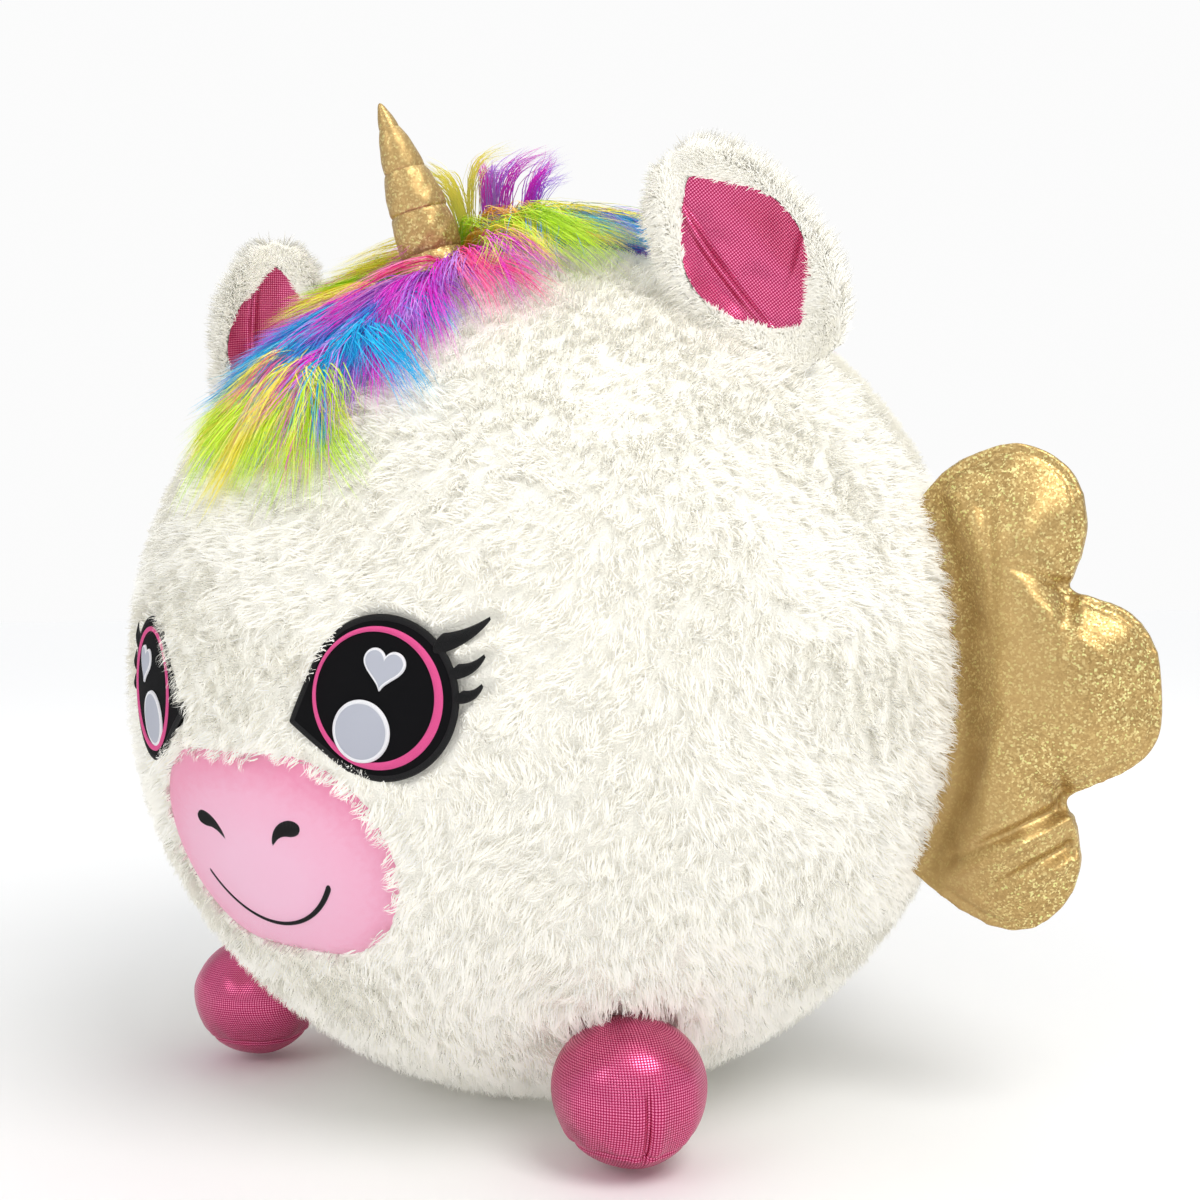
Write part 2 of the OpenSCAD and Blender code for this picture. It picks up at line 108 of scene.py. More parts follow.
def make_camera():
    data = bpy.data.cameras.new("camera")
    data.lens = CAM_LENS
    data.sensor_width = 36
    cam = linked("camera", data)
    spot = Vector(on_ball(CAM_AZ, CAM_EL, CAM_DISTANCE))
    ahead = (Vector(CENTRE) - spot).normalized()
    right = ahead.cross(Vector((0, 0, 1))).normalized()
    aim = Vector(CENTRE) + right * CAM_AIM[0] + right.cross(ahead) * CAM_AIM[1]
    ahead = (aim - spot).normalized()
    right = ahead.cross(Vector((0, 0, 1))).normalized()
    up = right.cross(ahead)
    roll = math.radians(CAM_ROLL)
    right, up = (
        right * math.cos(roll) + up * math.sin(roll),
        up * math.cos(roll) - right * math.sin(roll),
    )
    cam.matrix_world = Matrix((right, up, -ahead)).transposed().to_4x4()
    cam.location = spot
    bpy.context.scene.camera = cam


def area_light(name, az, el, distance, size, power, colour=(1, 1, 1)):
    data = bpy.data.lights.new(name, "AREA")
    data.shape = "DISK"
    data.size = size
    data.energy = power
    data.color = colour
    lamp = linked(name, data)
    lamp.location = Vector(on_ball(az, el, distance))
    lamp.rotation_euler = (lamp.location - Vector(CENTRE)).to_track_quat("Z", "Y").to_euler()


def make_light():
    """A bright studio: what the camera sees behind the object is lighter than the light that falls on it."""
    world = bpy.data.worlds.new("studio")
    bpy.context.scene.world = world
    world.use_nodes = True
    nodes = world.node_tree.nodes
    wire(nodes["Background"], Color=(0.98, 0.99, 1, 1), Strength=0.64)
    backdrop = add(nodes, "ShaderNodeBackground", Color=(1, 1, 1, 1), Strength=0.97)
    rays = nodes.new("ShaderNodeLightPath")
    mix = add(nodes, "ShaderNodeMixShader", Fac=rays.outputs["Is Camera Ray"])
    put(mix.inputs[1], nodes["Background"].outputs["Background"])
    put(mix.inputs[2], backdrop.outputs["Background"])
    wire(nodes["World Output"], Surface=mix.outputs["Shader"])
    area_light("key", 72, 45, 2.2, 1.2, 24, (1, 0.985, 0.96))
    area_light("fill", -5, 28, 2.4, 1.3, 9)
    area_light("top", 180, 75, 2.0, 1.5, 6)
    bpy.context.scene.view_settings.view_transform = "Standard"


FLOOR_HALF, FLOOR_DROP = 40.0, 0.0008      # the floor's half width, and how far it lies below the object


def make_floor():
    """A pale floor that glows more with distance, so that it runs into the backdrop without an edge."""
    mat, nodes, shader = new_material("floor", (0.95, 0.95, 0.95), 0.8, Emission_Color=(1, 1, 1, 1))
    away = vector_maths(nodes, "LENGTH", object_place(nodes)).outputs["Value"]
    fade = spread(nodes, away, From_Min=0.25, From_Max=1.6, To_Max=0.36)
    noise = clouds(nodes, 30.0, 3.0)
    gloss = spread(nodes, noise, To_Min=0.6, To_Max=0.75)
    wire(shader, Emission_Strength=fade, Roughness=gloss)
    corners = np.array([(-1, -1, 0), (1, -1, 0), (1, 1, 0), (-1, 1, 0)]) * FLOOR_HALF
    floor = mesh_object("floor", corners, [(0, 1, 2, 3)], mat)
    floor.location.z = -FLOOR_DROP


# ---------------------------------------------------------------- materials

def put(socket, value):
    """Links another node's output to a socket, or sets the socket to a value."""
    if isinstance(value, bpy.types.NodeSocket):
        socket.id_data.links.new(value, socket)
    else:
        socket.default_value = value


def wire(node, **sockets):
    """Sets or links sockets by name, with _ for each space of a name."""
    for key, value in sockets.items():
        put(node.inputs[key.replace("_", " ")], value)


def add(nodes, kind, **sockets):
    node = nodes.new(kind)
    wire(node, **sockets)
    return node


def new_material(name, colour, roughness, **sockets):
    mat = bpy.data.materials.new(name)
    mat.use_nodes = True
    shader = mat.node_tree.nodes["Principled BSDF"]
    wire(shader, Base_Color=(*colour, 1), Roughness=roughness, **sockets)
    return mat, mat.node_tree.nodes, shader


def sum_node(nodes, kind, operation, values):
    node = nodes.new(kind)
    node.operation = operation
    for socket, value in zip(node.inputs, values):
        put(socket, value)
    return node


def vector_maths(nodes, operation, *values):
    return sum_node(nodes, "ShaderNodeVectorMath", operation, values)


def maths(nodes, operation, *values):
    return sum_node(nodes, "ShaderNodeMath", operation, values).outputs["Value"]


def clouds(nodes, scale, detail, **sockets):
    """Noise from 0 to 1."""
    return add(nodes, "ShaderNodeTexNoise", Scale=scale, Detail=detail, **sockets).outputs["Fac"]


def spread(nodes, value, **limits):
    """A value from one range over another."""
    return add(nodes, "ShaderNodeMapRange", Value=value, **limits).outputs["Result"]


def object_place(nodes):
    """The place on the piece, in metres from the frame's origin."""
    return nodes.new("ShaderNodeTexCoord").outputs["Object"]


def cloth_place(nodes):
    """The place on the flat cloth, in metres."""
    node = nodes.new("ShaderNodeUVMap")
    node.uv_map = "cloth"
    return node.outputs["UV"]


def mixed(nodes, factor, a, b):
    """A colour between two others."""
    mix = nodes.new("ShaderNodeMix")
    mix.data_type = "RGBA"
    wire(mix, Factor=factor, A=a, B=b)
    return mix.outputs["Result"]


def shade(colour, amount, more=0.0):
    """A lighter or darker tone of a colour."""
    return tuple(min(c * amount + more, 1) for c in colour)


def ramp(nodes, value, stops):
    """The colour that a value gets from stops of place and colour."""
    node = add(nodes, "ShaderNodeValToRGB", Fac=value)
    while len(node.color_ramp.elements) < len(stops):
        node.color_ramp.elements.new(0.5)
    for element, (place, colour) in zip(node.color_ramp.elements, stops):
        element.position = place
        element.color = (*colour, 1)
    return node.outputs["Color"]


def bumped(nodes, height, strength, distance, **sockets):
    """The surface's normal over bumps of a height."""
    node = add(nodes, "ShaderNodeBump", Height=height, Strength=strength, Distance=distance, **sockets)
    return node.outputs["Normal"]


def strand_materials(name, tones, roughness=0.6, sheen=0.3, glow=0.0):
    """One material for each tone of a pile, as its strands differ.
    The glow is painted light: an emission that lifts the pile's shade, standing in for light that passes
    through and between the thin strands."""
    return [
        new_material(
            f"{name}_{number}", colour, roughness, Sheen_Weight=sheen, Sheen_Roughness=0.4,
            Specular_IOR_Level=0.2, Emission_Color=(*colour, 1), Emission_Strength=glow)[0]
        for number, colour in enumerate(tones)
    ]


def backing_material(name, colour):
    """Knitted backing under a pile, with fine bumps where its tufts stand."""
    mat, nodes, shader = new_material(name, colour, 0.8)
    noise = clouds(nodes, 420.0, 4.0)
    wire(shader, Normal=bumped(nodes, noise, 0.7, 0.002))
    return mat


# ---------------------------------------------------------------- meshes

SOFT_SHADING = 0.82     # how much a strand is lit as the pile round it, and not as its own ribbon


def mesh_object(name, verts, faces, material=None):
    mesh = bpy.data.meshes.new(name)
    mesh.from_pydata([tuple(map(float, v)) for v in verts], [], [tuple(map(int, f)) for f in faces])
    mesh.update()
    mesh.polygons.foreach_set("use_smooth", np.ones(len(mesh.polygons), bool))
    if material:
        mesh.materials.append(material)
    return linked(name, mesh)


def grid_object(name, points, material=None, closed=False):
    """A sheet through an array of points (rows, columns, 3)."""
    rows, cols = points.shape[:2]
    faces = []
    for i in range(rows - 1):
        for j in range(cols if closed else cols - 1):
            k = (j + 1) % cols
            faces.append((i * cols + j, i * cols + k, (i + 1) * cols + k, (i + 1) * cols + j))
    return mesh_object(name, points.reshape(-1, 3), faces, material)


def strand_object(name, paths, sides, widths, materials, slots, outward):
    """Many tapered ribbons as one mesh: paths (n, k, 3), sides (n, 3), widths (n,), slots (n, k - 1).
    Their shading leans on the pile's outward direction (n, 3), as light goes from strand to strand."""
    n, k = paths.shape[:2]
    facing = np.cross(sides, paths[:, -1] - paths[:, 0])
    inverted = (facing * outward).sum(-1) < 0
    sides = np.where(inverted[:, None], -sides, sides)
    facing = unit(np.where(inverted[:, None], -facing, facing))
    taper = (1 - np.linspace(0, 1, k) ** 1.6)[None, :-1, None]
    offset = sides[:, None] * widths[:, None, None] * 0.5 * taper
    left, right = paths[:, :-1] - offset, paths[:, :-1] + offset
    m = k - 1
    verts = np.concatenate([np.stack([left, right], 2).reshape(n, 2 * m, 3), paths[:, -1:]], 1)
    per = 2 * m + 1
    quads = np.array([(2 * i, 2 * i + 1, 2 * i + 3, 2 * i + 2) for i in range(m - 1)])
    base = np.arange(n)[:, None] * per
    quad_loops = (base[:, :, None] + quads[None]).reshape(n, -1)
    tip_loops = base + np.array([[2 * m - 2, 2 * m - 1, 2 * m]])
    loops = np.concatenate([quad_loops, tip_loops], 1).ravel()
    sizes = np.tile(np.array([4] * (m - 1) + [3]), n)
    starts = np.concatenate([[0], np.cumsum(sizes)[:-1]])
    mesh = bpy.data.meshes.new(name)
    mesh.vertices.add(n * per)
    mesh.vertices.foreach_set("co", verts.reshape(-1).astype(np.float32))
    mesh.loops.add(len(loops))
    mesh.loops.foreach_set("vertex_index", loops.astype(np.int32))
    mesh.polygons.add(len(sizes))
    mesh.polygons.foreach_set("loop_start", starts.astype(np.int32))
    mesh.polygons.foreach_set("use_smooth", np.ones(len(sizes), bool))
    mesh.update(calc_edges=True)
    for material in materials:
        mesh.materials.append(material)
    mesh.polygons.foreach_set("material_index", np.asarray(slots).reshape(-1).astype(np.int32))
    leaning = unit(facing * (1 - SOFT_SHADING) + outward * SOFT_SHADING)
    mesh.normals_split_custom_set_from_vertices(np.repeat(leaning, per, 0).astype(np.float32))
    return linked(name, mesh)


# ---------------------------------------------------------------- pile

def fibonacci_sphere(count):
    i = np.arange(count) + 0.5
    z = 1 - 2 * i / count
    turn = np.pi * (1 + 5 ** 0.5) * i
    flat = np.sqrt(1 - z * z)
    return np.stack([flat * np.cos(turn), flat * np.sin(turn), z], -1)


def wander(points, scale, seed):
    """Smooth noise from -1 to 1, from a few waves in different directions."""
    waves = np.random.default_rng(seed)
    total = np.zeros(len(points))
    for octave in range(5):
        direction = unit(waves.normal(size=3))
        phase = waves.uniform(0, 2 * np.pi)
        total += np.sin(points @ direction * scale * (1 + 0.45 * octave) + phase)
    return total / 3.2


def angles_of(directions):
    az = np.degrees(np.arctan2(directions[:, 0], -directions[:, 1]))
    el = np.degrees(np.arcsin(directions[:, 2].clip(-1, 1)))
    return az, el


def tangents(directions):
    """East (towards the unicorn's left, seen from outside) and north at each place on the ball."""
    east = unit(np.cross([0.0, 0.0, 1.0], directions) + 1e-9)
    north = np.cross(directions, east)
    return east, north


def local_place(directions, az, el, r):
    """Where a place on the ball lies on a patch's flat pattern: right, up, and how far to its front."""
    east, north, out = patch_axes(az, el)
    return directions @ east * r, directions @ north * r, directions @ out


def patch_axes(az, el):
    a, e = math.radians(az), math.radians(el)
    out = np.array([math.sin(a) * math.cos(e), -math.cos(a) * math.cos(e), math.sin(e)])
    east = np.array([math.cos(a), math.sin(a), 0.0])
    return east, np.cross(out, east), out


def strands(roots, normals, flow, length, height, clump_of, clump_tip, hold, points, wave, seed):
    """Paths of curved strands: they rise along the normals, lean with the flow and join their clump's tip."""
    draw = np.random.default_rng(seed)
    n = len(roots)
    t = np.linspace(0, 1, points)[None, :, None]
    rise = height[:, None, None] * (1 - (1 - t) ** 1.7)
    lean = length[:, None, None] * t ** 1.5
    own = roots[:, None] + normals[:, None] * rise + flow[:, None] * lean
    target = clump_tip[clump_of][:, None]
    straight = roots[:, None] * (1 - t) + target * t
    bow = normals[:, None] * rise * (1 - t) * 0.9
    joined = straight + bow
    weight = hold[:, None, None] * t ** 0.7
    path = own * (1 - weight) + joined * weight
    side = unit(np.cross(flow, normals))
    phase = draw.uniform(0, 2 * np.pi, n)[:, None, None]
    path = path + side[:, None] * np.sin(phase + t * 5.0) * wave[:, None, None] * t
    return path


def ribbon_sides(paths, normals, spread, seed):
    """Each ribbon faces mostly outwards, turned about its length by a random angle."""
    draw = np.random.default_rng(seed)
    along = unit(paths[:, -1] - paths[:, 0])
    flat = unit(np.cross(along, normals))
    other = np.cross(along, flat)
    turn = draw.normal(0, spread, len(paths))[:, None]
    return unit(flat * np.cos(turn) + other * np.sin(turn))


# ---------------------------------------------------------------- places of the sewn parts

EYE_AZ, EYE_EL = 20.8, -1
MUZZLE_EL = -20.5
MUZZLE_R, MUZZLE_HALF = 56 * MM, 28 * MM
MUZZLE_FRINGE = 0.007                   # how far the plush comes in over the muzzle's edge
HORN_EL, HORN_R = 66.5, 25.5 * MM
FOOT_AZ, FOOT_NECK = 53, 26 * MM
FRONT_SEAM, WING_SEAM = 40, 101         # angles of the cover's seams from the face
MANE_HALF = 34 * MM
MANE_A0, MANE_A1 = 36, 150
ZIP_A0, ZIP_A1, ZIP_HALF = 17, 63, 7.2 * MM
foot_lo, foot_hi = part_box("foot_cover_left")
FOOT_R = (foot_hi.x - foot_lo.x) / 2
FOOT_Z = foot_hi.z - FOOT_R
FOOT_C = Vector(((foot_lo.x + foot_hi.x) / 2, (foot_lo.y + foot_hi.y) / 2, FOOT_Z))


def along_bar(x, y, ax, ay, bx, by):
    """How far along a bar the nearest place is, from 0 at its start to 1 at its end."""
    return (((x - ax) * (bx - ax) + (y - ay) * (by - ay)) / ((bx - ax) ** 2 + (by - ay) ** 2)).clip(0, 1)


def capsule_distance(x, y, ax, ay, bx, by, ra, rb):
    """Signed distance from a rounded, tapering bar."""
    t = along_bar(x, y, ax, ay, bx, by)
    return np.hypot(x - ax - t * (bx - ax), y - ay - t * (by - ay)) - (ra + t * (rb - ra))


def off_muzzle(directions):
    """How far outside the muzzle's fringe a place is, and how far to its front."""
    x, y, front = local_place(directions, FACE_TURN, MUZZLE_EL, SKIN_R)
    return np.hypot(x - x.clip(-MUZZLE_HALF, MUZZLE_HALF), y) - MUZZLE_R + MUZZLE_FRINGE, front


def in_zip_slot(x, y, z):
    """Whether a place (from the ball's middle) is over the zip, low on the back."""
    below = np.degrees(np.arctan2(-z, y))
    return (below > ZIP_A0 - 1) & (below < ZIP_A1 + 1) & (y > 0)


def bare(directions):
    """How far inside the nearest part without plush a place on the ball is; negative on the plush."""
    depth = np.full(len(directions), -1.0)
    for side in (-1, 1):
        depth = np.maximum(depth, -eye_outline_distance(directions, side))
        x, y, front = local_place(directions, side * FOOT_AZ, foot_elevation(), SKIN_R)
        depth = np.maximum(depth, np.where(front > 0, FOOT_NECK - np.hypot(x, y), -1))
    outline, front = off_muzzle(directions)
    depth = np.maximum(depth, np.where(front > 0, -outline, -1))
    x, y, front = local_place(directions, FACE_TURN, HORN_EL, SKIN_R)
    depth = np.maximum(depth, np.where(front > 0, HORN_R - np.hypot(x, y), -1))
    off_zip = ZIP_HALF - np.abs(directions[:, 0]) * SKIN_R
    return np.maximum(depth, np.where(in_zip_slot(*directions.T), off_zip, -1))


def foot_elevation():
    reach = math.hypot(FOOT_C.x, FOOT_C.y)
    return math.degrees(math.atan2(FOOT_C.z - BALL_Z, reach))


# each lash's start and end from the eye's middle, and its width at its start
LASHES = [
    ((0.028, 0.024), (0.053, 0.0355), 0.0098),
    ((0.036, 0.012), (0.051, 0.019), 0.0078),
    ((0.038, 0.001), (0.050, 0.006), 0.0070),
]


# ---------------------------------------------------------------- white plush of the ball

# the first tone, the darkest, goes only on the strands' roots as painted shade deep in the pile
CREAMS = [
    (0.91, 0.89, 0.80), (0.95, 0.93, 0.86), (0.92, 0.90, 0.81),
    (0.95, 0.935, 0.87), (0.93, 0.905, 0.82), (0.955, 0.945, 0.90),
]


# painted light: how strongly the cream pile's strands glow, to lift the shade in the pile
CREAM_GLOW = 0.17


def plush_slots(n, segments, draw):
    """Root segments take the darkest tone, as painted shade deep in the pile, and the rest one of the five
    others.
    """
    tone = draw.choice([1, 2, 3, 4, 5], n, p=[0.3, 0.1, 0.3, 0.12, 0.18])
    slots = np.repeat(tone[:, None], segments, 1)
    # painted shade: each root segment takes the darkest tone or another dark one
    slots[:, 0] = np.where(draw.random(n) < 0.55, 0, 2)
    return slots


def pile_flow(directions):
    """Which way the long pile lies: mostly down, in drifts that turn to either side."""
    east, north = tangents(directions)
    swirl = wander(directions, 7.0, 3)[:, None] * 1.1 + wander(directions, 22.0, 4)[:, None] * 0.7
    flow = -north * (0.75 + 0.5 * wander(directions, 11.0, 5)[:, None]) + east * swirl
    return unit(flow)


def eye_outline_distance(directions, side):
    """Signed distance from an eye's black outline and lashes, far away on the ball's other side."""
    x, y, front = local_place(directions, FACE_TURN + side * EYE_AZ, EYE_EL, SKIN_R)
    x = x * side
    outline = capsule_distance(x, y, 0.0015, 0, -0.045, -0.011, 0.038, 0.0015)
    for (x0, y0), (x1, y1), _ in LASHES:
        outline = np.minimum(outline, capsule_distance(x, y, x0, y0, x1, y1, 0.0042, 0.002))
    return np.where(front > 0, outline, 1.0)


def off_eyes(directions):
    """Distance from the nearer eye's outline."""
    return np.minimum(eye_outline_distance(directions, 1), eye_outline_distance(directions, -1))


def edge_trim(directions):
    """0 at an eye's edge, where the pile is trimmed and combed away from it, and 1 from 9 mm off."""
    return (off_eyes(directions) / 0.009).clip(0, 1)


def away_from_eyes(directions):
    """The way over the ball from the nearer eye's middle, or nothing far from both."""
    found = np.zeros_like(directions)
    outs = [patch_axes(FACE_TURN + side * EYE_AZ, EYE_EL)[2] for side in (-1, 1)]
    for out, other in (outs, outs[::-1]):
        nearer = (directions @ out > 0.9) & (directions @ out > directions @ other)
        found = np.where(nearer[:, None], -toward(directions, out), found)
    return found


def toward(directions, point):
    """The way over the ball to a point of it."""
    return over_ball(point - directions, directions)


def over_ball(way, directions):
    """The part of a way that runs along the ball, as a unit vector."""
    return unit(way - directions * (way * directions).sum(-1, keepdims=True))


def combed(directions):
    """Which way the pile lies and how long it is: trimmed round the face's patches, longer over the feet."""
    near = edge_trim(directions)[:, None]
    flow = unit(pile_flow(directions) * near + away_from_eyes(directions) * (1 - near))
    size = 0.32 + 0.68 * near[:, 0]
    outline, front = off_muzzle(directions)
    close = np.where(front > 0, hill(outline.clip(0), 0.006), 0)[:, None] * near
    flow = unit(flow * (1 - close) + toward(directions, patch_axes(FACE_TURN, MUZZLE_EL)[2]) * close * 0.8)
    size = size * (1 - 0.4 * close[:, 0])
    for side in (-1, 1):
        x, y, front = local_place(directions, side * FOOT_AZ, foot_elevation(), SKIN_R)
        close = np.where(front > 0, hill((np.hypot(x, y) - FOOT_NECK).clip(0), 0.012), 0)[:, None]
        foot = patch_axes(side * FOOT_AZ, foot_elevation())[2]
        flow = unit(flow * (1 - close) + toward(directions, foot) * close)
        size = size * (1 + 0.7 * close[:, 0])
    return flow, size


def make_ball_skin():
    """The cover's backing, lumpy under the pile and sunk at the bare places and the zip."""
    around = np.concatenate([np.arange(-174, 174, 1.0), np.arange(174, 186, 0.25)])
    upward = np.linspace(-89.9, 89.9, 220)
    az, el = np.meshgrid(around, upward)
    points = on_ball(az, el, SKIN_R - 0.0005)
    x, y, z = points[..., 0], points[..., 1], points[..., 2] - BALL_Z
    in_slot = (np.abs(x) < ZIP_HALF) & in_zip_slot(x, y, z)
    outward = unit(points - CENTRE)
    clear = (-bare(outward.reshape(-1, 3)).reshape(az.shape) / 0.007).clip(0, 1)
    lumps = wander(outward.reshape(-1, 3), 75.0, 21).reshape(az.shape) * 0.0009
    swell = (0.0050 + lumps) * clear ** 0.7
    points = points + outward * swell[..., None]
    points = np.where(in_slot[..., None], on_ball(az, el, SKIN_R - 0.004), points)
    points[..., 2] = points[..., 2].clip(0.0004)
    skin = grid_object("ball_backing", points, backing_material("plush_backing", (0.95, 0.93, 0.85)), True)
    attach(skin, "ball")
    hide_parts(*PANELS)


MOST_STRANDS = 27000                    # in one piece
BALL_SEED, ROOT_SPREAD = 11, 0.0050       # roots lie within the spread of their clump's middle


def make_ball_pile(clumps, per_clump):
    """The cover's long pile: clumps spread evenly over the ball, whose strands lean to their clump's tip."""
    draw = np.random.default_rng(BALL_SEED)
    centres = fibonacci_sphere(clumps)
    centres = unit(centres + draw.normal(0, 0.010, centres.shape))
    centres = centres[bare(centres) < 0.0005]
    centres = centres[centres[:, 2] * SKIN_R + BALL_Z > 0.004]
    east, north = tangents(centres)
    count = len(centres)
    flow, size = combed(centres)
    tip_height = (draw.uniform(0.0085, 0.0115, count) * np.minimum(size, 1))[:, None]
    tip_lean = (draw.uniform(0.003, 0.008, count) * size)[:, None]
    jitter = draw.normal(0, 0.0026, (count, 2))
    tips = CENTRE + centres * (SKIN_R + tip_height) + flow * tip_lean
    tips += (east * jitter[:, :1] + north * jitter[:, 1:]) * size[:, None] ** 2

    clump_of = np.repeat(np.arange(count), per_clump)
    n = len(clump_of)
    spread = ROOT_SPREAD * np.sqrt(draw.random(n))
    angle = draw.uniform(0, 2 * np.pi, n)
    place = centres[clump_of] * SKIN_R
    right, up = (spread * np.cos(angle))[:, None], (spread * np.sin(angle))[:, None]
    place += east[clump_of] * right + north[clump_of] * up
    normal = unit(place)
    keep = bare(normal) < -0.001
    clump_of, normal = clump_of[keep], normal[keep]
    n = len(normal)
    roots = CENTRE + normal * (SKIN_R + 0.001)
    lie, size = combed(normal)
    lie = unit(lie + draw.normal(0, 0.45, (n, 3)) * np.minimum(size, 1)[:, None] ** 2)
    length = draw.uniform(0.003, 0.009, n) * size
    height = draw.uniform(0.0065, 0.0105, n) * np.minimum(size, 1.1)
    hold = draw.uniform(0.3, 0.9, n)
    wave = draw.uniform(0.0, 0.0012, n)
    paths = strands(roots, normal, lie, length, height, clump_of, tips, hold, 5, wave, 12)
    far = paths - CENTRE
    reach = np.linalg.norm(far, axis=-1, keepdims=True)
    far *= np.minimum(1, (BALL_R + 0.002) / reach)
    paths = CENTRE + far
    paths[..., 2] = paths[..., 2].clip(0.0006)
    tips = unit(paths[:, -1] - CENTRE)
    clear = off_eyes(tips) > 0.0003
    paths, normal = paths[clear], normal[clear]
    n = len(paths)
    sides = ribbon_sides(paths, normal, 0.3, 13)
    widths = draw.uniform(0.00037, 0.00080, n)
    slots = plush_slots(n, paths.shape[1] - 1, draw)
    mats = strand_materials("cream_pile", CREAMS, glow=CREAM_GLOW)
    az, el = angles_of(normal)
    panel = np.digitize(az, [-WING_SEAM, -FRONT_SEAM, FRONT_SEAM, WING_SEAM])
    for index, label in enumerate(["back_right", "side_right", "front", "side_left", "back_left"]):
        chosen = np.flatnonzero(panel == index)
        parts = int(math.ceil(len(chosen) / MOST_STRANDS))
        order = chosen[np.argsort(el[chosen])]
        for number, some in enumerate(np.array_split(order, parts)):
            name = f"pile_{label}_{number}"
            obj = strand_object(name, paths[some], sides[some], widths[some], mats, slots[some], normal[some])
            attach(obj, "ball")


# ---------------------------------------------------------------- face patches

def patch_points(az, el, x, y, r):
    """Points of a flat pattern laid on the ball at radius r."""
    east, north, out = patch_axes(az, el)
    depth = np.sqrt(r * r - x * x - y * y)
    return CENTRE + x[..., None] * east + y[..., None] * north + depth[..., None] * out


def even_loop(points, count):
    """The closed outline again, with evenly spaced points."""
    closed = np.concatenate([points, points[:1]])
    run = np.concatenate([[0], np.cumsum(np.linalg.norm(np.diff(closed, axis=0), axis=1))])
    want = np.linspace(0, run[-1], count, endpoint=False)
    return np.stack([np.interp(want, run, closed[:, i]) for i in range(2)], -1)


def hull_loop(circles, count=160):
    """Outline round circles (x, y, radius), counterclockwise."""
    theta = np.linspace(0, 2 * np.pi, 720, endpoint=False)
    way = np.stack([np.cos(theta), np.sin(theta)], -1)
    c = np.array(circles)
    best = (way @ c[:, :2].T + c[:, 2]).argmax(1)
    return even_loop(c[best, :2] + way * c[best, 2:3], count)


def heart_loop(size, tilt, count=120):
    t = np.linspace(0, 2 * np.pi, 600, endpoint=False)
    x = 16 * np.sin(t) ** 3
    y = 13 * np.cos(t) - 5 * np.cos(2 * t) - 2 * np.cos(3 * t) - np.cos(4 * t)
    x, y = x / 30 * size, y / 30 * size
    c, k = math.cos(math.radians(tilt)), math.sin(math.radians(tilt))
    return even_loop(np.stack([x * c - y * k, x * k + y * c], -1), count)


def inset_loop(loop, amount):
    """The outline moved inwards by an amount, along its own normals."""
    step = np.roll(loop, -1, 0) - np.roll(loop, 1, 0)
    normal = unit(np.stack([-step[:, 1], step[:, 0]], -1))
    return loop + normal * amount


def star_patch(name, place, loop, centre, r0, thick, edge, material, side=1, rings=12):
    """A cloth patch with a soft edge: rings from its centre out to the outline."""
    centre = np.array(centre)
    reach = np.linalg.norm(loop - centre, axis=1)
    t = 1 - (np.linspace(1, 0, rings) ** 1.6)
    grid = centre + (loop - centre)[None] * t[:, None, None]
    inside = (1 - t)[:, None] * reach[None]
    height = thick * rounded(inside / edge)
    x, y = grid[..., 0] * side, grid[..., 1]
    points = patch_points(*place, x, y, r0 + height)
    skirt = patch_points(*place, x[-1], y[-1], r0 - 0.0015 + 0 * x[-1])
    obj = grid_object(name, np.concatenate([points, skirt[None]]), material, True)
    set_uv(obj, np.concatenate([grid, grid[-1:]]).reshape(-1, 2))
    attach(obj, "ball")
    return obj


SUNK = 0.0003        # how far the edges of satin stitches sink into the cloth


def stitch_ridges(count):
    """Each stitch's own ridge, with four columns of the mesh for a stitch."""
    return (0.5 + 0.5 * np.cos(np.arange(count) * math.pi / 2))[None]


def satin_band(name, place, inner, outer, r0, height, stitch, material, side=1):
    """Satin stitches laid side by side across a closed band between two outlines of equal count."""
    run = np.linalg.norm(np.diff(np.concatenate([outer, outer[:1]]), axis=0), axis=1).sum()
    count = int(run / stitch) * 4
    inner, outer = resample(inner, count), resample(outer, count)
    u = np.linspace(0, 1, 9)
    grid = inner[None] + (outer - inner)[None] * u[:, None, None]
    dome = np.sqrt((1 - (2 * u - 1) ** 2).clip(0))[:, None]
    lift = height * dome * (0.82 + 0.18 * stitch_ridges(count)) - SUNK
    x, y = grid[..., 0] * side, grid[..., 1]
    obj = grid_object(name, patch_points(*place, x, y, r0 + lift), material, True)
    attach(obj, "ball")
    return obj


def resample(loop, count):
    """A closed outline with a new count of points, each still beside the same place."""
    closed = np.concatenate([loop, loop[:1]])
    want = np.linspace(0, len(loop), count, endpoint=False)
    return np.stack([np.interp(want, np.arange(len(loop) + 1), closed[:, i]) for i in range(2)], -1)


def satin_stroke(name, place, line, widths, r0, height, stitch, material, side=1, slant=0.5):
    """Satin stitches across an open stroke, whose width changes along its line."""
    line, widths = np.asarray(line, float), np.asarray(widths, float)
    run = np.concatenate([[0], np.cumsum(np.linalg.norm(np.diff(line, axis=0), axis=1))])
    count = max(int(run[-1] / stitch) * 4, 24)
    want = np.linspace(0, run[-1], count)
    mid = np.stack([np.interp(want, run, line[:, i]) for i in range(2)], -1)
    width = np.interp(want, run, widths)
    along = unit(np.gradient(mid, axis=0))
    across = np.stack([-along[:, 1], along[:, 0]], -1) + along * slant
    u = np.linspace(-1, 1, 9)
    grid = mid[None] + across[None] * (u[:, None] * width[None] / 2)[..., None]
    dome = np.sqrt((1 - u ** 2).clip(0))[:, None]
    rise = height * np.minimum(1, width / widths.max() * 1.5)[None]
    lift = rise * dome * (0.8 + 0.2 * stitch_ridges(count)) - SUNK
    obj = grid_object(name, patch_points(*place, grid[..., 0] * side, grid[..., 1], r0 + lift), material)
    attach(obj, "ball")
    return obj


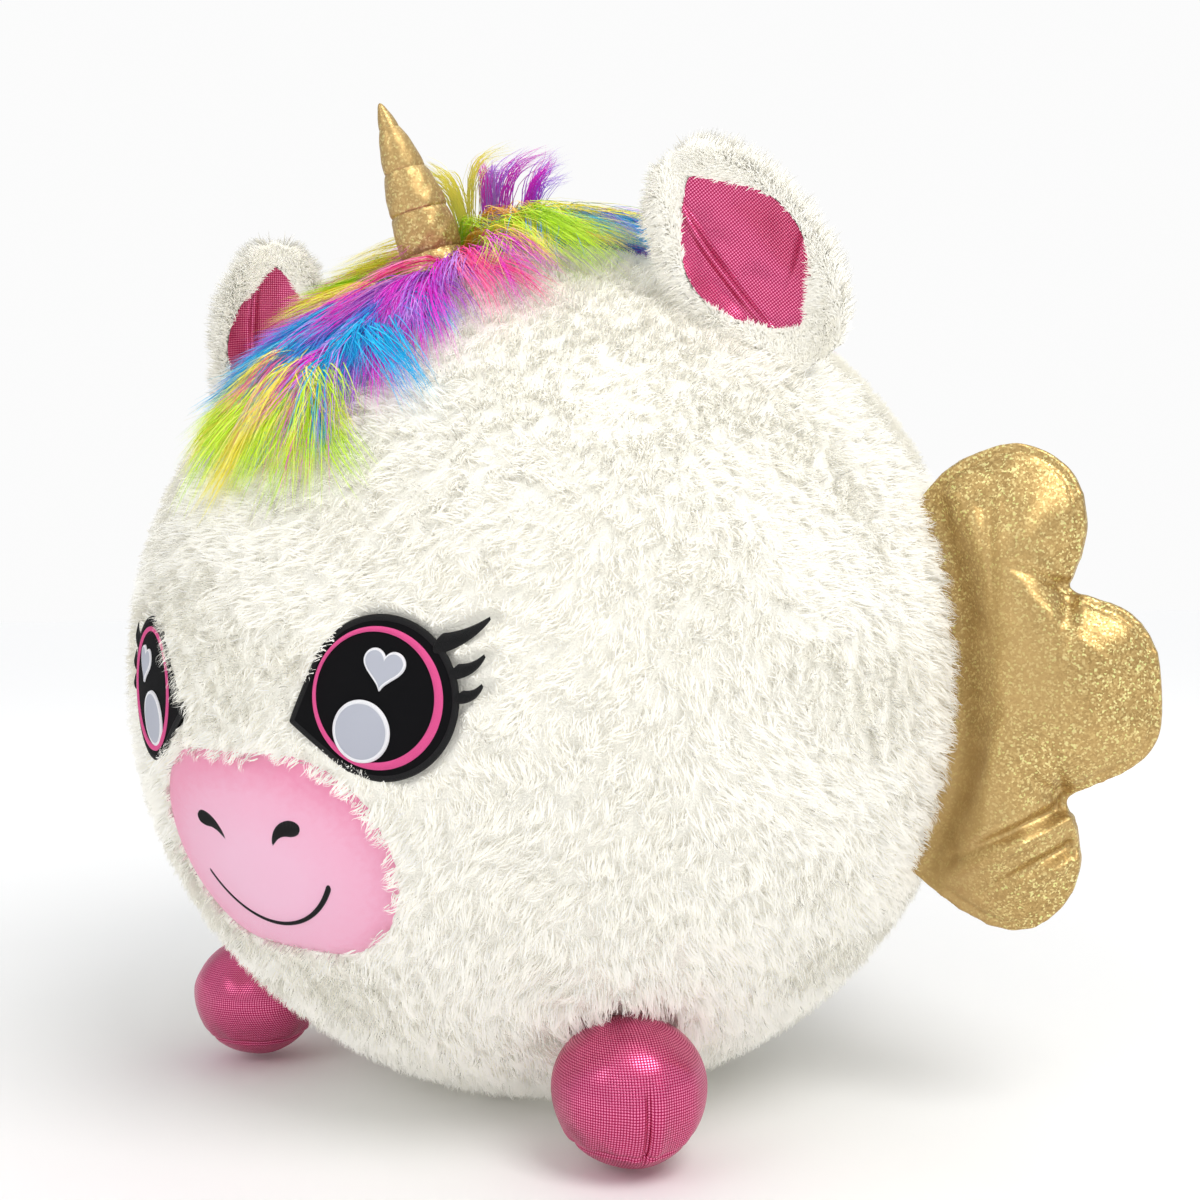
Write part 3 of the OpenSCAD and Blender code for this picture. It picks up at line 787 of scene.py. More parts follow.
def curved_line(start, end, bow, count=40):
    """A line from start to end that bows to its left by the given amount."""
    a, b = np.array(start), np.array(end)
    t = np.linspace(0, 1, count)[:, None]
    normal = np.array([-(b - a)[1], (b - a)[0]]) / np.linalg.norm(b - a)
    return a * (1 - t) + b * t + normal * bow * 4 * t * (1 - t)


def round_start(width, tip, count=40, power=1.0, cap=0.12):
    """Widths of a stroke with a round start that narrows to its tip."""
    t = np.linspace(0, 1, count)
    head = rounded(t / cap)
    return np.maximum((width * (1 - t) ** power + tip * t) * head, 0.0002)


def set_uv(obj, uv):
    mesh = obj.data
    index = np.zeros(len(mesh.loops), np.int32)
    mesh.loops.foreach_get("vertex_index", index)
    layer = mesh.uv_layers.new(name="cloth")
    layer.data.foreach_set("uv", uv[index].reshape(-1).astype(np.float32))


def thread_material(name, colour, roughness=0.5, sheen=0.02):
    """Embroidery thread: fine twist, tone that varies with the stitches, soft lustre."""
    mat, nodes, shader = new_material(name, colour, roughness, Sheen_Weight=sheen, Specular_IOR_Level=0.25)
    twist = clouds(nodes, 650.0, 5.0)
    tones = ramp(nodes, twist, [(0.3, shade(colour, 0.72)), (0.5, colour), (0.7, shade(colour, 1.15, 0.01))])
    wire(shader, Base_Color=tones, Normal=bumped(nodes, twist, 0.5, 0.0004))
    return mat


def felt_material(name, colour, roughness=0.9, sheen=0.0):
    """Felted cloth: matted fibres in two sizes."""
    mat, nodes, shader = new_material(name, colour, roughness, Sheen_Weight=sheen, Specular_IOR_Level=0.12)
    fibres = clouds(nodes, 900.0, 6.0, Roughness=0.7)
    matted = clouds(nodes, 160.0, 3.0)
    tones = ramp(nodes, fibres, [(0.35, shade(colour, 0.85)), (0.75, shade(colour, 1.08))])
    height = maths(nodes, "MULTIPLY_ADD", matted, 0.4, fibres)
    wire(shader, Base_Color=tones, Normal=bumped(nodes, height, 0.6, 0.0006))
    return mat


def make_eye(side, mats):
    label = "left" if side > 0 else "right"
    place = (FACE_TURN + side * EYE_AZ, EYE_EL)
    black, felt, pink, white, grey = mats

    def patch(part, loop, centre, rise, thick, edge, material, slot):
        return star_patch(
            f"eye_{label}_{part}", place, loop, centre, SKIN_R + rise, thick, edge, material, side)

    def band(part, inner, outer, rise, height, stitch, material, slot):
        return satin_band(
            f"eye_{label}_{part}", place, inner, outer, SKIN_R + rise, height, stitch, material, side)

    loop = hull_loop([(0.0015, 0, 0.038), (-0.045, -0.011, 0.0015)], 240)
    base = patch("patch", inset_loop(loop, 0.001), (0.0015, 0), 0.003, 0.0016, 0.002, felt, "black_felt")
    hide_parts(f"eye_patch_{label}", f"eye_lashes_{label}")
    band("edge", inset_loop(loop, 0.0034), loop, 0.0042, 0.0011, 0.00055, black, "black_felt")
    theta = np.linspace(0, 2 * np.pi, 240, endpoint=False)
    circle = np.stack([np.cos(theta), np.sin(theta)], -1)
    ring_in = circle * 0.0293 + np.array([-0.0012, 0.0006])
    ring = band("ring", ring_in, circle * 0.0327, 0.0045, 0.0014, 0.00055, pink, "eye_pink")
    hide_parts(f"eye_ring_{label}")
    at = np.array([-0.0075, -0.0150])
    spot = patch("spot", circle[::2] * 0.0135 + at, at, 0.0046, 0.0013, 0.0014, grey, "grey_felt")
    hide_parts(f"eye_spot_{label}")
    band("spot_edge", circle * 0.0122 + at, circle * 0.0145 + at, 0.0052, 0.0011, 0.0005, white, "grey_felt")
    at = np.array([0.0045, 0.0140])
    line = heart_loop(0.0185, -12 * side)[::-1]
    heart = patch("heart", line + at, at, 0.0046, 0.0011, 0.0014, grey, "grey_felt")
    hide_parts(f"eye_heart_{label}")
    band("heart_edge", inset_loop(line, 0.0011) + at, inset_loop(line, -0.0006) + at,
         0.005, 0.0009, 0.0005, white, "grey_felt")
    for number, (start, end, width) in enumerate(LASHES):
        satin_stroke(
            f"eye_{label}_lash_{number}", place, curved_line(start, end, -0.0024),
            round_start(width, 0.0012, power=0.85), SKIN_R + 0.0045, 0.0016, 0.0005,
            black, side)


def muzzle_material():
    """Short velour, airbrushed deeper towards its upper edges."""
    mat, nodes, shader = new_material(
        "muzzle_velour", (0.93, 0.56, 0.74), 0.75, Sheen_Weight=0.5, Sheen_Roughness=0.35)
    velour = clouds(nodes, 1400.0, 4.0)
    cloud = clouds(nodes, 30.0, 3.0)
    oval = vector_maths(nodes, "MULTIPLY_ADD", cloth_place(nodes), (10.5, 15.5, 0), (-0.05, 0.12, 0))
    reach = vector_maths(nodes, "LENGTH", oval.outputs["Vector"]).outputs["Value"]
    depth = maths(nodes, "MULTIPLY_ADD", cloud, 0.2, reach)
    tones = ramp(nodes, depth, [
        (0.35, (0.96, 0.54, 0.72)), (0.75, (0.95, 0.46, 0.64)), (1.05, (0.90, 0.30, 0.48)),
    ])
    wire(shader, Base_Color=tones, Normal=bumped(nodes, velour, 0.5, 0.0006))
    return mat


def make_muzzle(thread):
    loop = hull_loop([(-MUZZLE_HALF, 0, MUZZLE_R), (MUZZLE_HALF, 0, MUZZLE_R)], 320)
    patch = star_patch("muzzle_velour", (FACE_TURN, MUZZLE_EL), loop, (0, 0), SKIN_R - 0.001, 0.0062, 0.012,
                       muzzle_material(), rings=40)
    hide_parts("muzzle_patch")
    top = SKIN_R + 0.0050
    for side in (-1, 1):
        label = "left" if side > 0 else "right"
        stroke = satin_stroke(
            f"nostril_{label}_stitches", (FACE_TURN + side * 8.0, -16.2),
            curved_line((0.0060, 0.0005), (-0.0150, -0.0105), -0.0052),
            round_start(0.0125, 0.0014, cap=0.3), top, 0.0016, 0.0005,
            thread, side, slant=0.2)
        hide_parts(f"nostril_{label}")
    turn = np.radians(np.linspace(-146, -33, 90))
    line = np.stack([0.055 * np.cos(turn), 0.034 + 0.055 * np.sin(turn)], -1)
    swell = np.linspace(0, 1, 90)
    ends = np.minimum(swell, 1 - swell) * 90
    widths = (0.0019 + 0.0016 * swell ** 2) * rounded(ends / 2.2).clip(0.15)
    smile = satin_stroke("smile_stitches", (FACE_TURN, -24), line, widths, top, 0.0014, 0.0005,
                         thread, slant=0.3)
    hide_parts("smile")


# ---------------------------------------------------------------- cloths with a metal print

def gold_material():
    """Antique gold print: smooth in places, and elsewhere small cells of lighter, redder and greener foil."""
    mat, nodes, shader = new_material("gold_cloth", (0.48, 0.31, 0.10), 0.38, Metallic=0.7)
    where = object_place(nodes)
    cells = add(nodes, "ShaderNodeTexVoronoi", Scale=1000.0, Vector=where)
    patches = clouds(nodes, 11.0, 1.0, Vector=where)
    weave = clouds(nodes, 2600.0, 2.0, Vector=where)
    split = add(nodes, "ShaderNodeSeparateColor", Color=cells.outputs["Color"])
    foil = ramp(nodes, split.outputs["Red"], [
        (0.0, (0.32, 0.200, 0.066)), (0.35, (0.43, 0.280, 0.100)), (0.6, (0.52, 0.355, 0.135)),
        (0.78, (0.63, 0.465, 0.19)), (0.92, (0.90, 0.80, 0.38)), (1.0, (0.78, 0.84, 0.32)),
    ])
    amount = spread(nodes, patches, From_Min=0.40, From_Max=0.62, To_Min=0.15, To_Max=0.85)
    shine = spread(nodes, split.outputs["Green"], To_Min=0.32, To_Max=0.52)
    dents = soft_dents(nodes, 26.0, 0.008)
    wire(shader, Base_Color=mixed(nodes, amount, (0.52, 0.350, 0.140, 1), foil),
         Roughness=shine,
         Normal=bumped(nodes, weave, 0.25, 0.0003, Normal=dents))
    return mat


def soft_dents(nodes, scale, depth):
    """The uneven lie of stuffed cloth, as a bumped normal for a finer bump to start from."""
    noise = clouds(nodes, scale, 1.0, Vector=object_place(nodes))
    return bumped(nodes, noise, 0.8, depth)


def dot_material(name, ground, dot, pitch=0.0014):
    """Deep pink cloth printed with rows of small foil dots."""
    mat, nodes, shader = new_material(name, ground, 0.4, Metallic=0.75)
    cells = add(nodes, "ShaderNodeTexVoronoi", Scale=1 / pitch, Randomness=0.0, Vector=cloth_place(nodes))
    cells.voronoi_dimensions = "2D"
    spots = spread(nodes, cells.outputs["Distance"], From_Min=0.42, From_Max=0.28)
    rough = spread(nodes, spots, To_Min=0.42, To_Max=0.26)
    wire(shader, Base_Color=mixed(nodes, spots, (*ground, 1), (*dot, 1)), Roughness=rough,
         Normal=bumped(nodes, spots, 0.4, 0.0003, Normal=soft_dents(nodes, 30.0, 0.010)))
    return mat


# ---------------------------------------------------------------- horn

def make_horn(gold):
    """A slim cone whose stuffing bulges between the turns of a thread wound round it."""
    length = 0.098
    tip = 0.0006
    east, north, out = patch_axes(FACE_TURN, HORN_EL)
    t = np.linspace(0, 1, 220)[:, None]
    phi = np.linspace(0, 2 * np.pi, 120, endpoint=False)[None, :]
    radius = np.interp(t, [0, 0.06, 0.16, 0.42, 0.60, 0.80, 0.92, 0.98, 1],
                       [0.0240, 0.0205, 0.0178, 0.0164, 0.0128, 0.0080, 0.0042, 0.0018, tip])
    wound = t / 0.235 + 0.34 + 0.16 * np.cos(phi - 2.4) * (1 - t)
    puff = np.abs(np.sin(np.pi * wound)) ** 0.33
    pucker = (1 - puff) * (np.sin(phi * 17 + 3 * np.sin(phi * 3) + np.floor(wound) * 2.1) * 0.5)
    swell = (puff - 0.9) * 0.0030 * np.sqrt((1 - t).clip(0.05)) + pucker * 0.0007 * (1 - t)
    noise = np.sin(phi * 5 + t * 37) * 0.00025 + np.sin(phi * 8 - t * 61) * 0.0002
    r = (radius + swell + noise * (1 - t)).clip(0.0003)
    bend = -0.006 * t ** 2
    x = r * np.cos(phi) + bend
    y = r * np.sin(phi)
    z = t * length + 0 * phi
    points = CENTRE + x[..., None] * east + y[..., None] * north + (SKIN_R + z)[..., None] * out
    points[-1] = CENTRE + bend[-1, 0] * east + out * (SKIN_R + length)
    horn = grid_object("horn_cloth", points, gold, True)
    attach(horn, "ball")
    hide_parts("horn_cover", "horn_filling", "horn_windings")


# ---------------------------------------------------------------- mane

# each colour's first tone is its darkest; the mane's roots take it as painted shade
MANE_COLOURS = {
    "lime": [(0.38, 0.62, 0.02), (0.56, 0.84, 0.03), (0.70, 0.90, 0.10)],
    "yellow": [(0.80, 0.66, 0.05), (0.90, 0.82, 0.10), (0.94, 0.88, 0.24)],
    "orange": [(0.80, 0.40, 0.04), (0.90, 0.54, 0.08), (0.92, 0.64, 0.18)],
    "turquoise": [(0.00, 0.30, 0.60), (0.01, 0.44, 0.78), (0.04, 0.58, 0.86)],
    "blue": [(0.02, 0.13, 0.54), (0.04, 0.24, 0.72), (0.10, 0.36, 0.84)],
    "purple": [(0.34, 0.07, 0.56), (0.50, 0.16, 0.74), (0.64, 0.34, 0.86)],
    "magenta": [(0.64, 0.01, 0.50), (0.82, 0.02, 0.66), (0.90, 0.09, 0.74)],
    "pink": [(0.82, 0.04, 0.24), (0.90, 0.13, 0.36), (0.94, 0.28, 0.50)],
}
MANE_BANDS = [      # the angle over the top where each band of colours starts
    (36, ["yellow", "lime", "yellow"]), (41, ["yellow", "lime", "pink"]),
    (44, ["turquoise", "blue", "turquoise"]), (49, ["turquoise", "magenta", "blue"]),
    (53, ["magenta", "magenta", "purple"]), (60, ["magenta", "magenta", "pink"]),
    (65, ["yellow", "lime", "lime"]), (68, ["lime", "lime", "yellow"]), (73, ["orange", "yellow", "lime"]),
    (76, ["turquoise", "blue", "turquoise"]), (82, ["purple", "turquoise", "blue"]),
    (94, ["turquoise", "purple", "blue"]), (108, ["magenta", "pink", "purple"]),
    (120, ["orange", "yellow", "lime"]), (132, ["lime", "turquoise", "lime"]),
    (143, ["turquoise", "purple", "blue"]),
]
LIME, YELLOW, TURQUOISE, BLUE, PURPLE, MAGENTA, PINK = 0, 1, 3, 4, 5, 6, 7      # places in MANE_COLOURS
TONES = 3           # tones of each colour, from its roots' (the darkest, painted shade at the roots) to its lightest
COLOUR_NAMES = list(MANE_COLOURS)
TUFT_ANGLES = (74.5, 79.5, 85)    # the three locks that stand up behind the horn


def mane_materials():
    tones = [tone for name in COLOUR_NAMES for tone in MANE_COLOURS[name]]
    # the mane's strands glow a little too: painted light that lifts their shade
    return strand_materials("mane_pile", tones, 0.55, 0.0, glow=0.10)


def mane_place(x, angle):
    """Directions to places on the mane's strip: x across it and the angle over the top from the face."""
    a = np.radians(angle)
    s = x / SKIN_R
    c = np.sqrt(1 - s * s)
    return np.stack([s, -np.cos(a) * c, np.sin(a) * c], -1)


def mane_flow(x, angle, draw):
    """Unit ways the mane falls: forward and to the unicorn's right at the forelock, to both sides behind."""
    n = len(x)
    directions = mane_place(x, angle)
    forward = unit(mane_place(x, angle - 1) - directions)
    across = np.cross(directions, forward)
    across = unit(across * np.sign(across[:, :1] + 1e-9))
    front = falls(angle, 64, 3)
    rear = rises(angle, 88, 4)
    part = np.tanh((x + 0.010) / 0.014)
    near_side = rises(x, 0.010, 0.006)
    ahead = 0.9 * front + 0.25 * (1 - front) * (1 - rear) - 0.7 * rear + draw.normal(0, 0.30, n)
    slant = 0.95 - 1.25 * near_side + 0.35 * wander(directions, 24.0, 36)
    aside = part * 1.0 * (1 - front) - front * slant + draw.normal(0, 0.30, n)
    return unit(forward * ahead[:, None] + across * aside[:, None])


LONG_POINTS = 9     # points of each strand of the mane


def long_strands(start, flow, length, height, settle, wave, seed):
    """Strands that stand up from the ball, fall over and then lie along it."""
    draw = np.random.default_rng(seed)
    t = np.linspace(0, 1, LONG_POINTS)[None, :]
    turn = (length / BALL_R)[:, None] * t ** 1.15
    way = start[:, None] * np.cos(turn)[..., None] + flow[:, None] * np.sin(turn)[..., None]
    stand = 1 - np.exp(-6.0 * t)
    fall = t ** 1.6
    radius = SKIN_R + height[:, None] * stand * (1 - fall) + settle[:, None] * fall
    side = np.cross(start, flow)
    phase, speed = draw.uniform(0, 2 * np.pi, (2, len(start), 1))
    bend = wave[:, None] * t * np.sin(phase + t * (2.0 + speed * 0.6))
    return CENTRE + way * radius[..., None] + side[:, None] * bend[..., None]


def mane_colour(x, angle, tuft, draw):
    """Each clump's colour: bands over the top, with others along the edges and in the standing locks."""
    count = len(x)
    bands = np.array([a for a, _ in MANE_BANDS])
    shift = wander(mane_place(x, angle), 9.0, 33) * 3.5 + (x / MANE_HALF) * -3.5
    band = (np.searchsorted(bands, angle + shift) - 1).clip(0, len(bands) - 1)
    pick = draw.integers(0, 3, count)
    colour = np.array([COLOUR_NAMES.index(MANE_BANDS[b][1][k]) for b, k in zip(band, pick)])
    edge = (x > MANE_HALF * 0.75) & (angle > 60) & (angle < 72)
    edge &= draw.random(count) < 0.7
    colour = np.where(edge, draw.choice([MAGENTA, PURPLE, MAGENTA, PINK], count), colour)
    low_edge = (x > MANE_HALF * (1.15 - (angle - 36) / 14)) & (angle > 36) & (angle < 56)
    low_edge &= draw.random(count) < 0.85
    colour = np.where(low_edge, draw.choice([TURQUOISE, TURQUOISE, PURPLE, BLUE, MAGENTA], count), colour)
    far_top = (x < -0.25 * MANE_HALF) & (angle > 58) & (angle < 84)
    colour = np.where(far_top, draw.choice([LIME, YELLOW, LIME, MAGENTA], count), colour)
    colour = np.where(tuft & (angle < 77), YELLOW, colour)
    return np.where(tuft & (angle > 77), draw.choice([PURPLE, PURPLE, MAGENTA], count), colour)


def make_mane(clumps=1500, per_clump=38):
    draw = np.random.default_rng(31)
    x = draw.uniform(-1, 1, clumps) * MANE_HALF
    angle = draw.uniform(MANE_A0, MANE_A1, clumps)
    _, _, horn = patch_axes(FACE_TURN, HORN_EL)
    clear = mane_place(x, angle) @ horn < math.cos((HORN_R + 0.001) / SKIN_R)
    x, angle = x[clear], angle[clear]
    count = len(x)
    flow = mane_flow(x, angle, draw)
    front = falls(angle, 62, 3)
    far_side = falls(x, -0.008, 0.006)
    length = draw.uniform(0.055, 0.090, count) * (1 - 0.40 * front * far_side)
    length *= 1 - 0.15 * (1 - front) * (angle < 86)
    length *= 1 + 0.35 * (1 - front) * (x > 0.008) * (angle < 104)
    height = draw.uniform(0.020, 0.038, count) * (1 - 0.25 * front) * (1 - 0.3 * far_side)
    height *= 1 - 0.45 * hill(angle - HORN_EL + 10, 9)
    length *= 1 - 0.5 * ((angle - 126) / 20).clip(0, 1)
    tuft = np.zeros(count, bool)
    for at in TUFT_ANGLES:
        tuft |= (np.abs(angle - at) < 0.8) & (np.abs(x) < 0.004)
    height = np.where(tuft, draw.uniform(0.045, 0.062, count), height)
    length = np.where(tuft, length * 0.45, length)
    stay_up, lie_down = draw.uniform(0.050, 0.066, count), draw.uniform(0.010, 0.022, count)
    settle = np.where(tuft, stay_up, lie_down + 0.006 * (1 - front))
    colour = mane_colour(x, angle, tuft, draw)

    of = np.repeat(np.arange(count), per_clump)
    n = len(of)
    ax = x[of] + draw.normal(0, 0.0028, n)
    aa = angle[of] + np.degrees(draw.normal(0, 0.0028, n) / SKIN_R)
    start = mane_place(ax, aa)
    own = unit(flow[of] + draw.normal(0, 0.16, (n, 3)))
    own = over_ball(own, start)
    paths = long_strands(
        start, own, length[of] * draw.uniform(0.75, 1.1, n), height[of] * draw.uniform(0.7, 1.15, n),
        settle[of] * draw.uniform(0.7, 1.2, n), draw.uniform(0.001, 0.006, n), 32)
    guide = long_strands(
        mane_place(x, angle), flow, length, height, settle, draw.uniform(0.002, 0.011, count), 34)
    hold = np.where(tuft[of], draw.uniform(0.7, 1.0, n), draw.uniform(0.3, 0.92, n))
    t = np.linspace(0, 1, LONG_POINTS)
    hold = (hold[:, None] * t[None] ** 0.8)[..., None]
    paths = paths * (1 - hold) + guide[of] * hold
    paths = paths + draw.normal(0, 0.0024, (n, 1, 3)) * t[None, :, None] ** 2
    outward = unit(paths[:, 5] - CENTRE)
    sides = ribbon_sides(paths, outward, 0.5, 35)
    widths = draw.uniform(0.0004, 0.0009, n)
    tone = colour[of] * TONES + draw.integers(0, TONES, n)
    slots = np.repeat(tone[:, None], LONG_POINTS - 1, 1)
    # the two root segments take the darkest tone: painted shade at the mane's roots
    slots[:, :2] = (colour[of] * TONES)[:, None]
    # the standing locks take their lightest tone all along: painted light, as if light shone through them
    slots[tuft[of]] = (colour[of] * TONES + 2)[tuft[of], None]
    mats = mane_materials()
    order = np.argsort(angle[of], kind="stable")
    for number, some in enumerate(np.array_split(order, int(math.ceil(n / 12000)))):
        obj = strand_object(
            f"mane_pile_{number}", paths[some], sides[some], widths[some], mats, slots[some], outward[some])
        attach(obj, "ball")
        if number == 0:
            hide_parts("mane")
    make_mane_backing()


def make_mane_backing():
    x, angle = np.meshgrid(np.linspace(-1, 1, 25) * MANE_HALF, np.linspace(MANE_A0 - 1, MANE_A1 + 1, 120))
    rise = 0.006 * np.sqrt((1 - (x / MANE_HALF) ** 2).clip(0)) + 0.004
    points = CENTRE + mane_place(x, angle) * (SKIN_R + rise)[..., None]
    obj = grid_object("mane_backing", points, backing_material("mane_backing", (0.42, 0.30, 0.40)))
    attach(obj, "ball")


# ---------------------------------------------------------------- tail

def make_tail(strands_n=9000):
    """A tuft of the mane's pile: it comes out of its seam, arches and hangs."""
    draw = np.random.default_rng(41)
    tail_lo, tail_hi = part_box("tail")
    root = np.array([0.0, tail_lo.y + 0.004, tail_seam_height()])
    clumps = 90
    of = draw.integers(0, clumps, strands_n)
    fan = draw.uniform(-1, 1, clumps)
    out = draw.uniform(0.25, 1.0, clumps)
    reach = draw.uniform(0.085, 0.138, clumps)
    across = [LIME, YELLOW, TURQUOISE, PURPLE, MAGENTA, TURQUOISE, BLUE, PINK, LIME, PURPLE]
    colour = np.array(across)[((fan + 1) * 4.99).astype(int)]
    colour = np.where(draw.random(clumps) < 0.5, draw.integers(0, 8, clumps), colour)
    lift = draw.uniform(0.006, 0.018, clumps)
    t = np.linspace(0, 1, 10)[None, :]
    side = (fan[of] * 0.034 + draw.normal(0, 0.004, strands_n))[:, None]
    depth = (0.014 + out[of] * 0.036 + draw.normal(0, 0.004, strands_n))[:, None]
    drop = (reach[of] * draw.uniform(0.8, 1.05, strands_n))[:, None]
    wave = draw.uniform(0, 0.003, (strands_n, 1)) * np.sin(draw.uniform(0, 6, (strands_n, 1)) + 6 * t)
    open_out = np.sin(np.pi * (t ** 1.1) * 0.62)
    xs = root[0] + draw.uniform(-0.013, 0.013, (strands_n, 1)) * (1 - t) + side * open_out + wave * t
    ys = root[1] + 0.006 + depth * np.minimum(t * 2.6, 1) ** 0.6 * (1 - 0.25 * t ** 2)
    zs = root[2] + lift[of][:, None] * np.sin(np.pi * np.minimum(t * 2.2, 1)) - drop * t ** 1.4
    paths = np.stack([xs, ys, zs], -1)
    outward = unit(paths[:, 6] - np.array([0, 0.25, BALL_Z + 0.01]))
    sides = ribbon_sides(paths, outward, 0.5, 42)
    tone = colour[of] * TONES + draw.integers(0, TONES, strands_n)
    slots = np.repeat(tone[:, None], 9, 1)
    widths = draw.uniform(0.0007, 0.0013, strands_n)
    obj = strand_object("tail_pile", paths, sides, widths, mane_materials(), slots, outward)
    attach(obj, "tail_tuft")
    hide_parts("tail")


def tail_seam_height():
    joint = next(j for j in frame["record"]["behaviour"]["joints"] if j["name"] == "tail_lift")
    return joint["pos_m"][2]


# ---------------------------------------------------------------- ears

EARS = {
    "left": dict(foot=(0.200, -0.014, 0.395), tip=(0.148, -0.070, 0.498), face=(0.43, -0.87, -0.24)),
    "right": dict(foot=(-0.192, -0.059, 0.366), tip=(-0.158, -0.085, 0.503), face=(0.75, -0.59, -0.29)),
}
EAR_HALF = 0.039


def ear_axes(ear):
    foot, tip, face = (np.array(ear[k], float) for k in ("foot", "tip", "face"))
    y = unit(tip - foot)
    z = unit(face - y * (face @ y))
    return foot, np.cross(y, z), y, z, np.linalg.norm(tip - foot)


def ear_half(v):
    """Half the ear's width at a place from its foot (0) to its tip (1)."""
    return EAR_HALF * (1 - np.abs(2 * v - 1) ** 2.5).clip(0) ** 0.62


def ear_surface(ear, u, v, back):
    """The cupped ear's front (back = 0) or back (1): u across from edge to edge, v from foot to tip."""
    foot, x_axis, y_axis, z_axis, length = ear_axes(ear)
    cup = 0.017 * u * u * np.sin(np.pi * v.clip(0.02, 0.98)) ** 0.5 - 0.007
    thick = 0.0085 * np.sqrt((1 - u * u).clip(0)) * np.sqrt(np.sin(np.pi * v.clip(0, 1)).clip(0))
    z = cup - back * thick + 0.010 * v ** 2
    x = u * ear_half(v.clip(0, 1)) * (1 - 0.10 * u * u)
    return foot + x[..., None] * x_axis + (v * length)[..., None] * y_axis + z[..., None] * z_axis


LINING_V0, LINING_V1 = 0.17, 0.90


def lining_span(v):
    """Part of the ear's half width that the lining covers, from its foot to its tip."""
    return np.sin(np.pi * ((v - LINING_V0) / (LINING_V1 - LINING_V0)).clip(0, 1)).clip(0) ** 0.65


def make_ear(label, lining):
    ear = EARS[label]
    body = f"{label}_ear"
    v = np.linspace(0.015, 0.985, 61)[:, None] + np.zeros((1, 41))
    u = np.linspace(-1, 1, 41)[None, :] + np.zeros((61, 1))
    front, back = (ear_surface(ear, u, v, is_back) for is_back in (0, 1))
    loop = np.concatenate([front, back[:, ::-1][:, 1:-1]], 1)
    knit = backing_material(f"ear_{label}_backing", (0.93, 0.92, 0.87))
    core = grid_object(f"ear_{label}_backing", loop, knit, True)
    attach(core, body)
    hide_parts(f"ear_back_{label}", f"ear_wadding_{label}")

    v = np.linspace(LINING_V0, LINING_V1, 81)[:, None] + np.zeros((1, 61))
    u = np.linspace(-1, 1, 61)[None, :] * (lining_span(v) * 0.82)
    fold = hill(u + 0.38, 0.06) * 0.0040 + hill(v - 0.28 - 0.2 * u, 0.02) * 0.0020
    folds = fold + 0.0007 * np.sin(u * 9 + v * 5)
    folds = folds * np.sin(np.pi * (v - LINING_V0) / (LINING_V1 - LINING_V0))
    _, _, _, z_axis, length = ear_axes(ear)
    sheet = ear_surface(ear, u, v, 0) + (0.0018 + folds)[..., None] * z_axis
    obj = grid_object(f"ear_{label}_lining", sheet, lining)
    set_uv(obj, np.stack([u * ear_half(v) * 1.15, v * length], -1).reshape(-1, 2))
    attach(obj, body)
    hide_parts(f"ear_lining_{label}")

    draw = np.random.default_rng(51 if label == "left" else 52)
    piles = [ear_pile(ear, is_back, wanted, draw) for is_back, wanted in ((1, 9000), (0, 30000))]
    paths, normals = (np.concatenate(part) for part in zip(*piles))
    clear = np.linalg.norm(paths[:, 0] - CENTRE, axis=-1) > SKIN_R + 0.004
    paths, normals = paths[clear], normals[clear]
    sides = ribbon_sides(paths, normals, 0.3, 54)
    mats = strand_materials(f"ear_{label}_pile", CREAMS, glow=CREAM_GLOW)
    widths = draw.uniform(0.0005, 0.0010, len(paths))
    obj = strand_object(
        f"ear_{label}_pile", paths, sides, widths, mats, plush_slots(len(paths), 4, draw), normals)
    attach(obj, body)


def ear_pile(ear, is_back, wanted, draw):
    """Strands over an ear's back, or over its front round the lining, and the way that each stands."""
    u = draw.uniform(-1, 1, wanted)
    v = draw.uniform(0.08 if is_back else 0.02, 0.985, wanted)
    if is_back:
        u = np.sin(u * np.pi / 2)
    else:
        off_lining = np.abs(u) > lining_span(v) * 0.83
        u, v = u[off_lining], v[off_lining]

    def surface(u, v):
        return ear_surface(ear, u, v, is_back)

    step = 0.004
    root = surface(u, v)
    along_u = surface((u + step).clip(-1, 1), v) - surface((u - step).clip(-1, 1), v)
    along_v = surface(u, (v + step).clip(0, 1)) - surface(u, (v - step).clip(0, 1))
    normal = unit(np.cross(along_u, along_v)) * (-1 if is_back else 1)
    foot, x_axis, y_axis, _, _ = ear_axes(ear)
    rim = (np.abs(u) ** 4)[:, None]
    ends = (np.abs(2 * v - 1) ** 6)[:, None]
    outwards = x_axis * np.sign(u)[:, None]
    past_ends = y_axis * np.sign(v - 0.5)[:, None] * ends * 0.8
    normal = unit(normal * (1.1 - rim * 0.6) + outwards * rim * 1.2 + past_ends)
    swirl = wander(root - foot, 190.0, 53)[:, None]
    stray = draw.normal(0, 0.35, (len(root), 3))
    lie = unit(y_axis * 0.6 + outwards * 0.6 * rim + x_axis * swirl * 0.7 + stray)
    t = np.linspace(0, 1, 5)[None, :, None]
    tall = draw.uniform(0.0035, 0.0070, len(root))[:, None, None]
    long = draw.uniform(0.0025, 0.0060, len(root))[:, None, None]
    if not is_back:
        long = long * 0.7
    path = root[:, None] + normal[:, None] * tall * (1 - (1 - t) ** 1.7) + lie[:, None] * long * t ** 1.5
    return path, normal


# ---------------------------------------------------------------- wings

WING_HEADING = 108
WING_SEAM_R = SKIN_R + 3 * MM
WING_BAND = 0.018       # flat cloth along the seam
WING_SLAB = 0.0048      # half the thickness that the simulation starts from
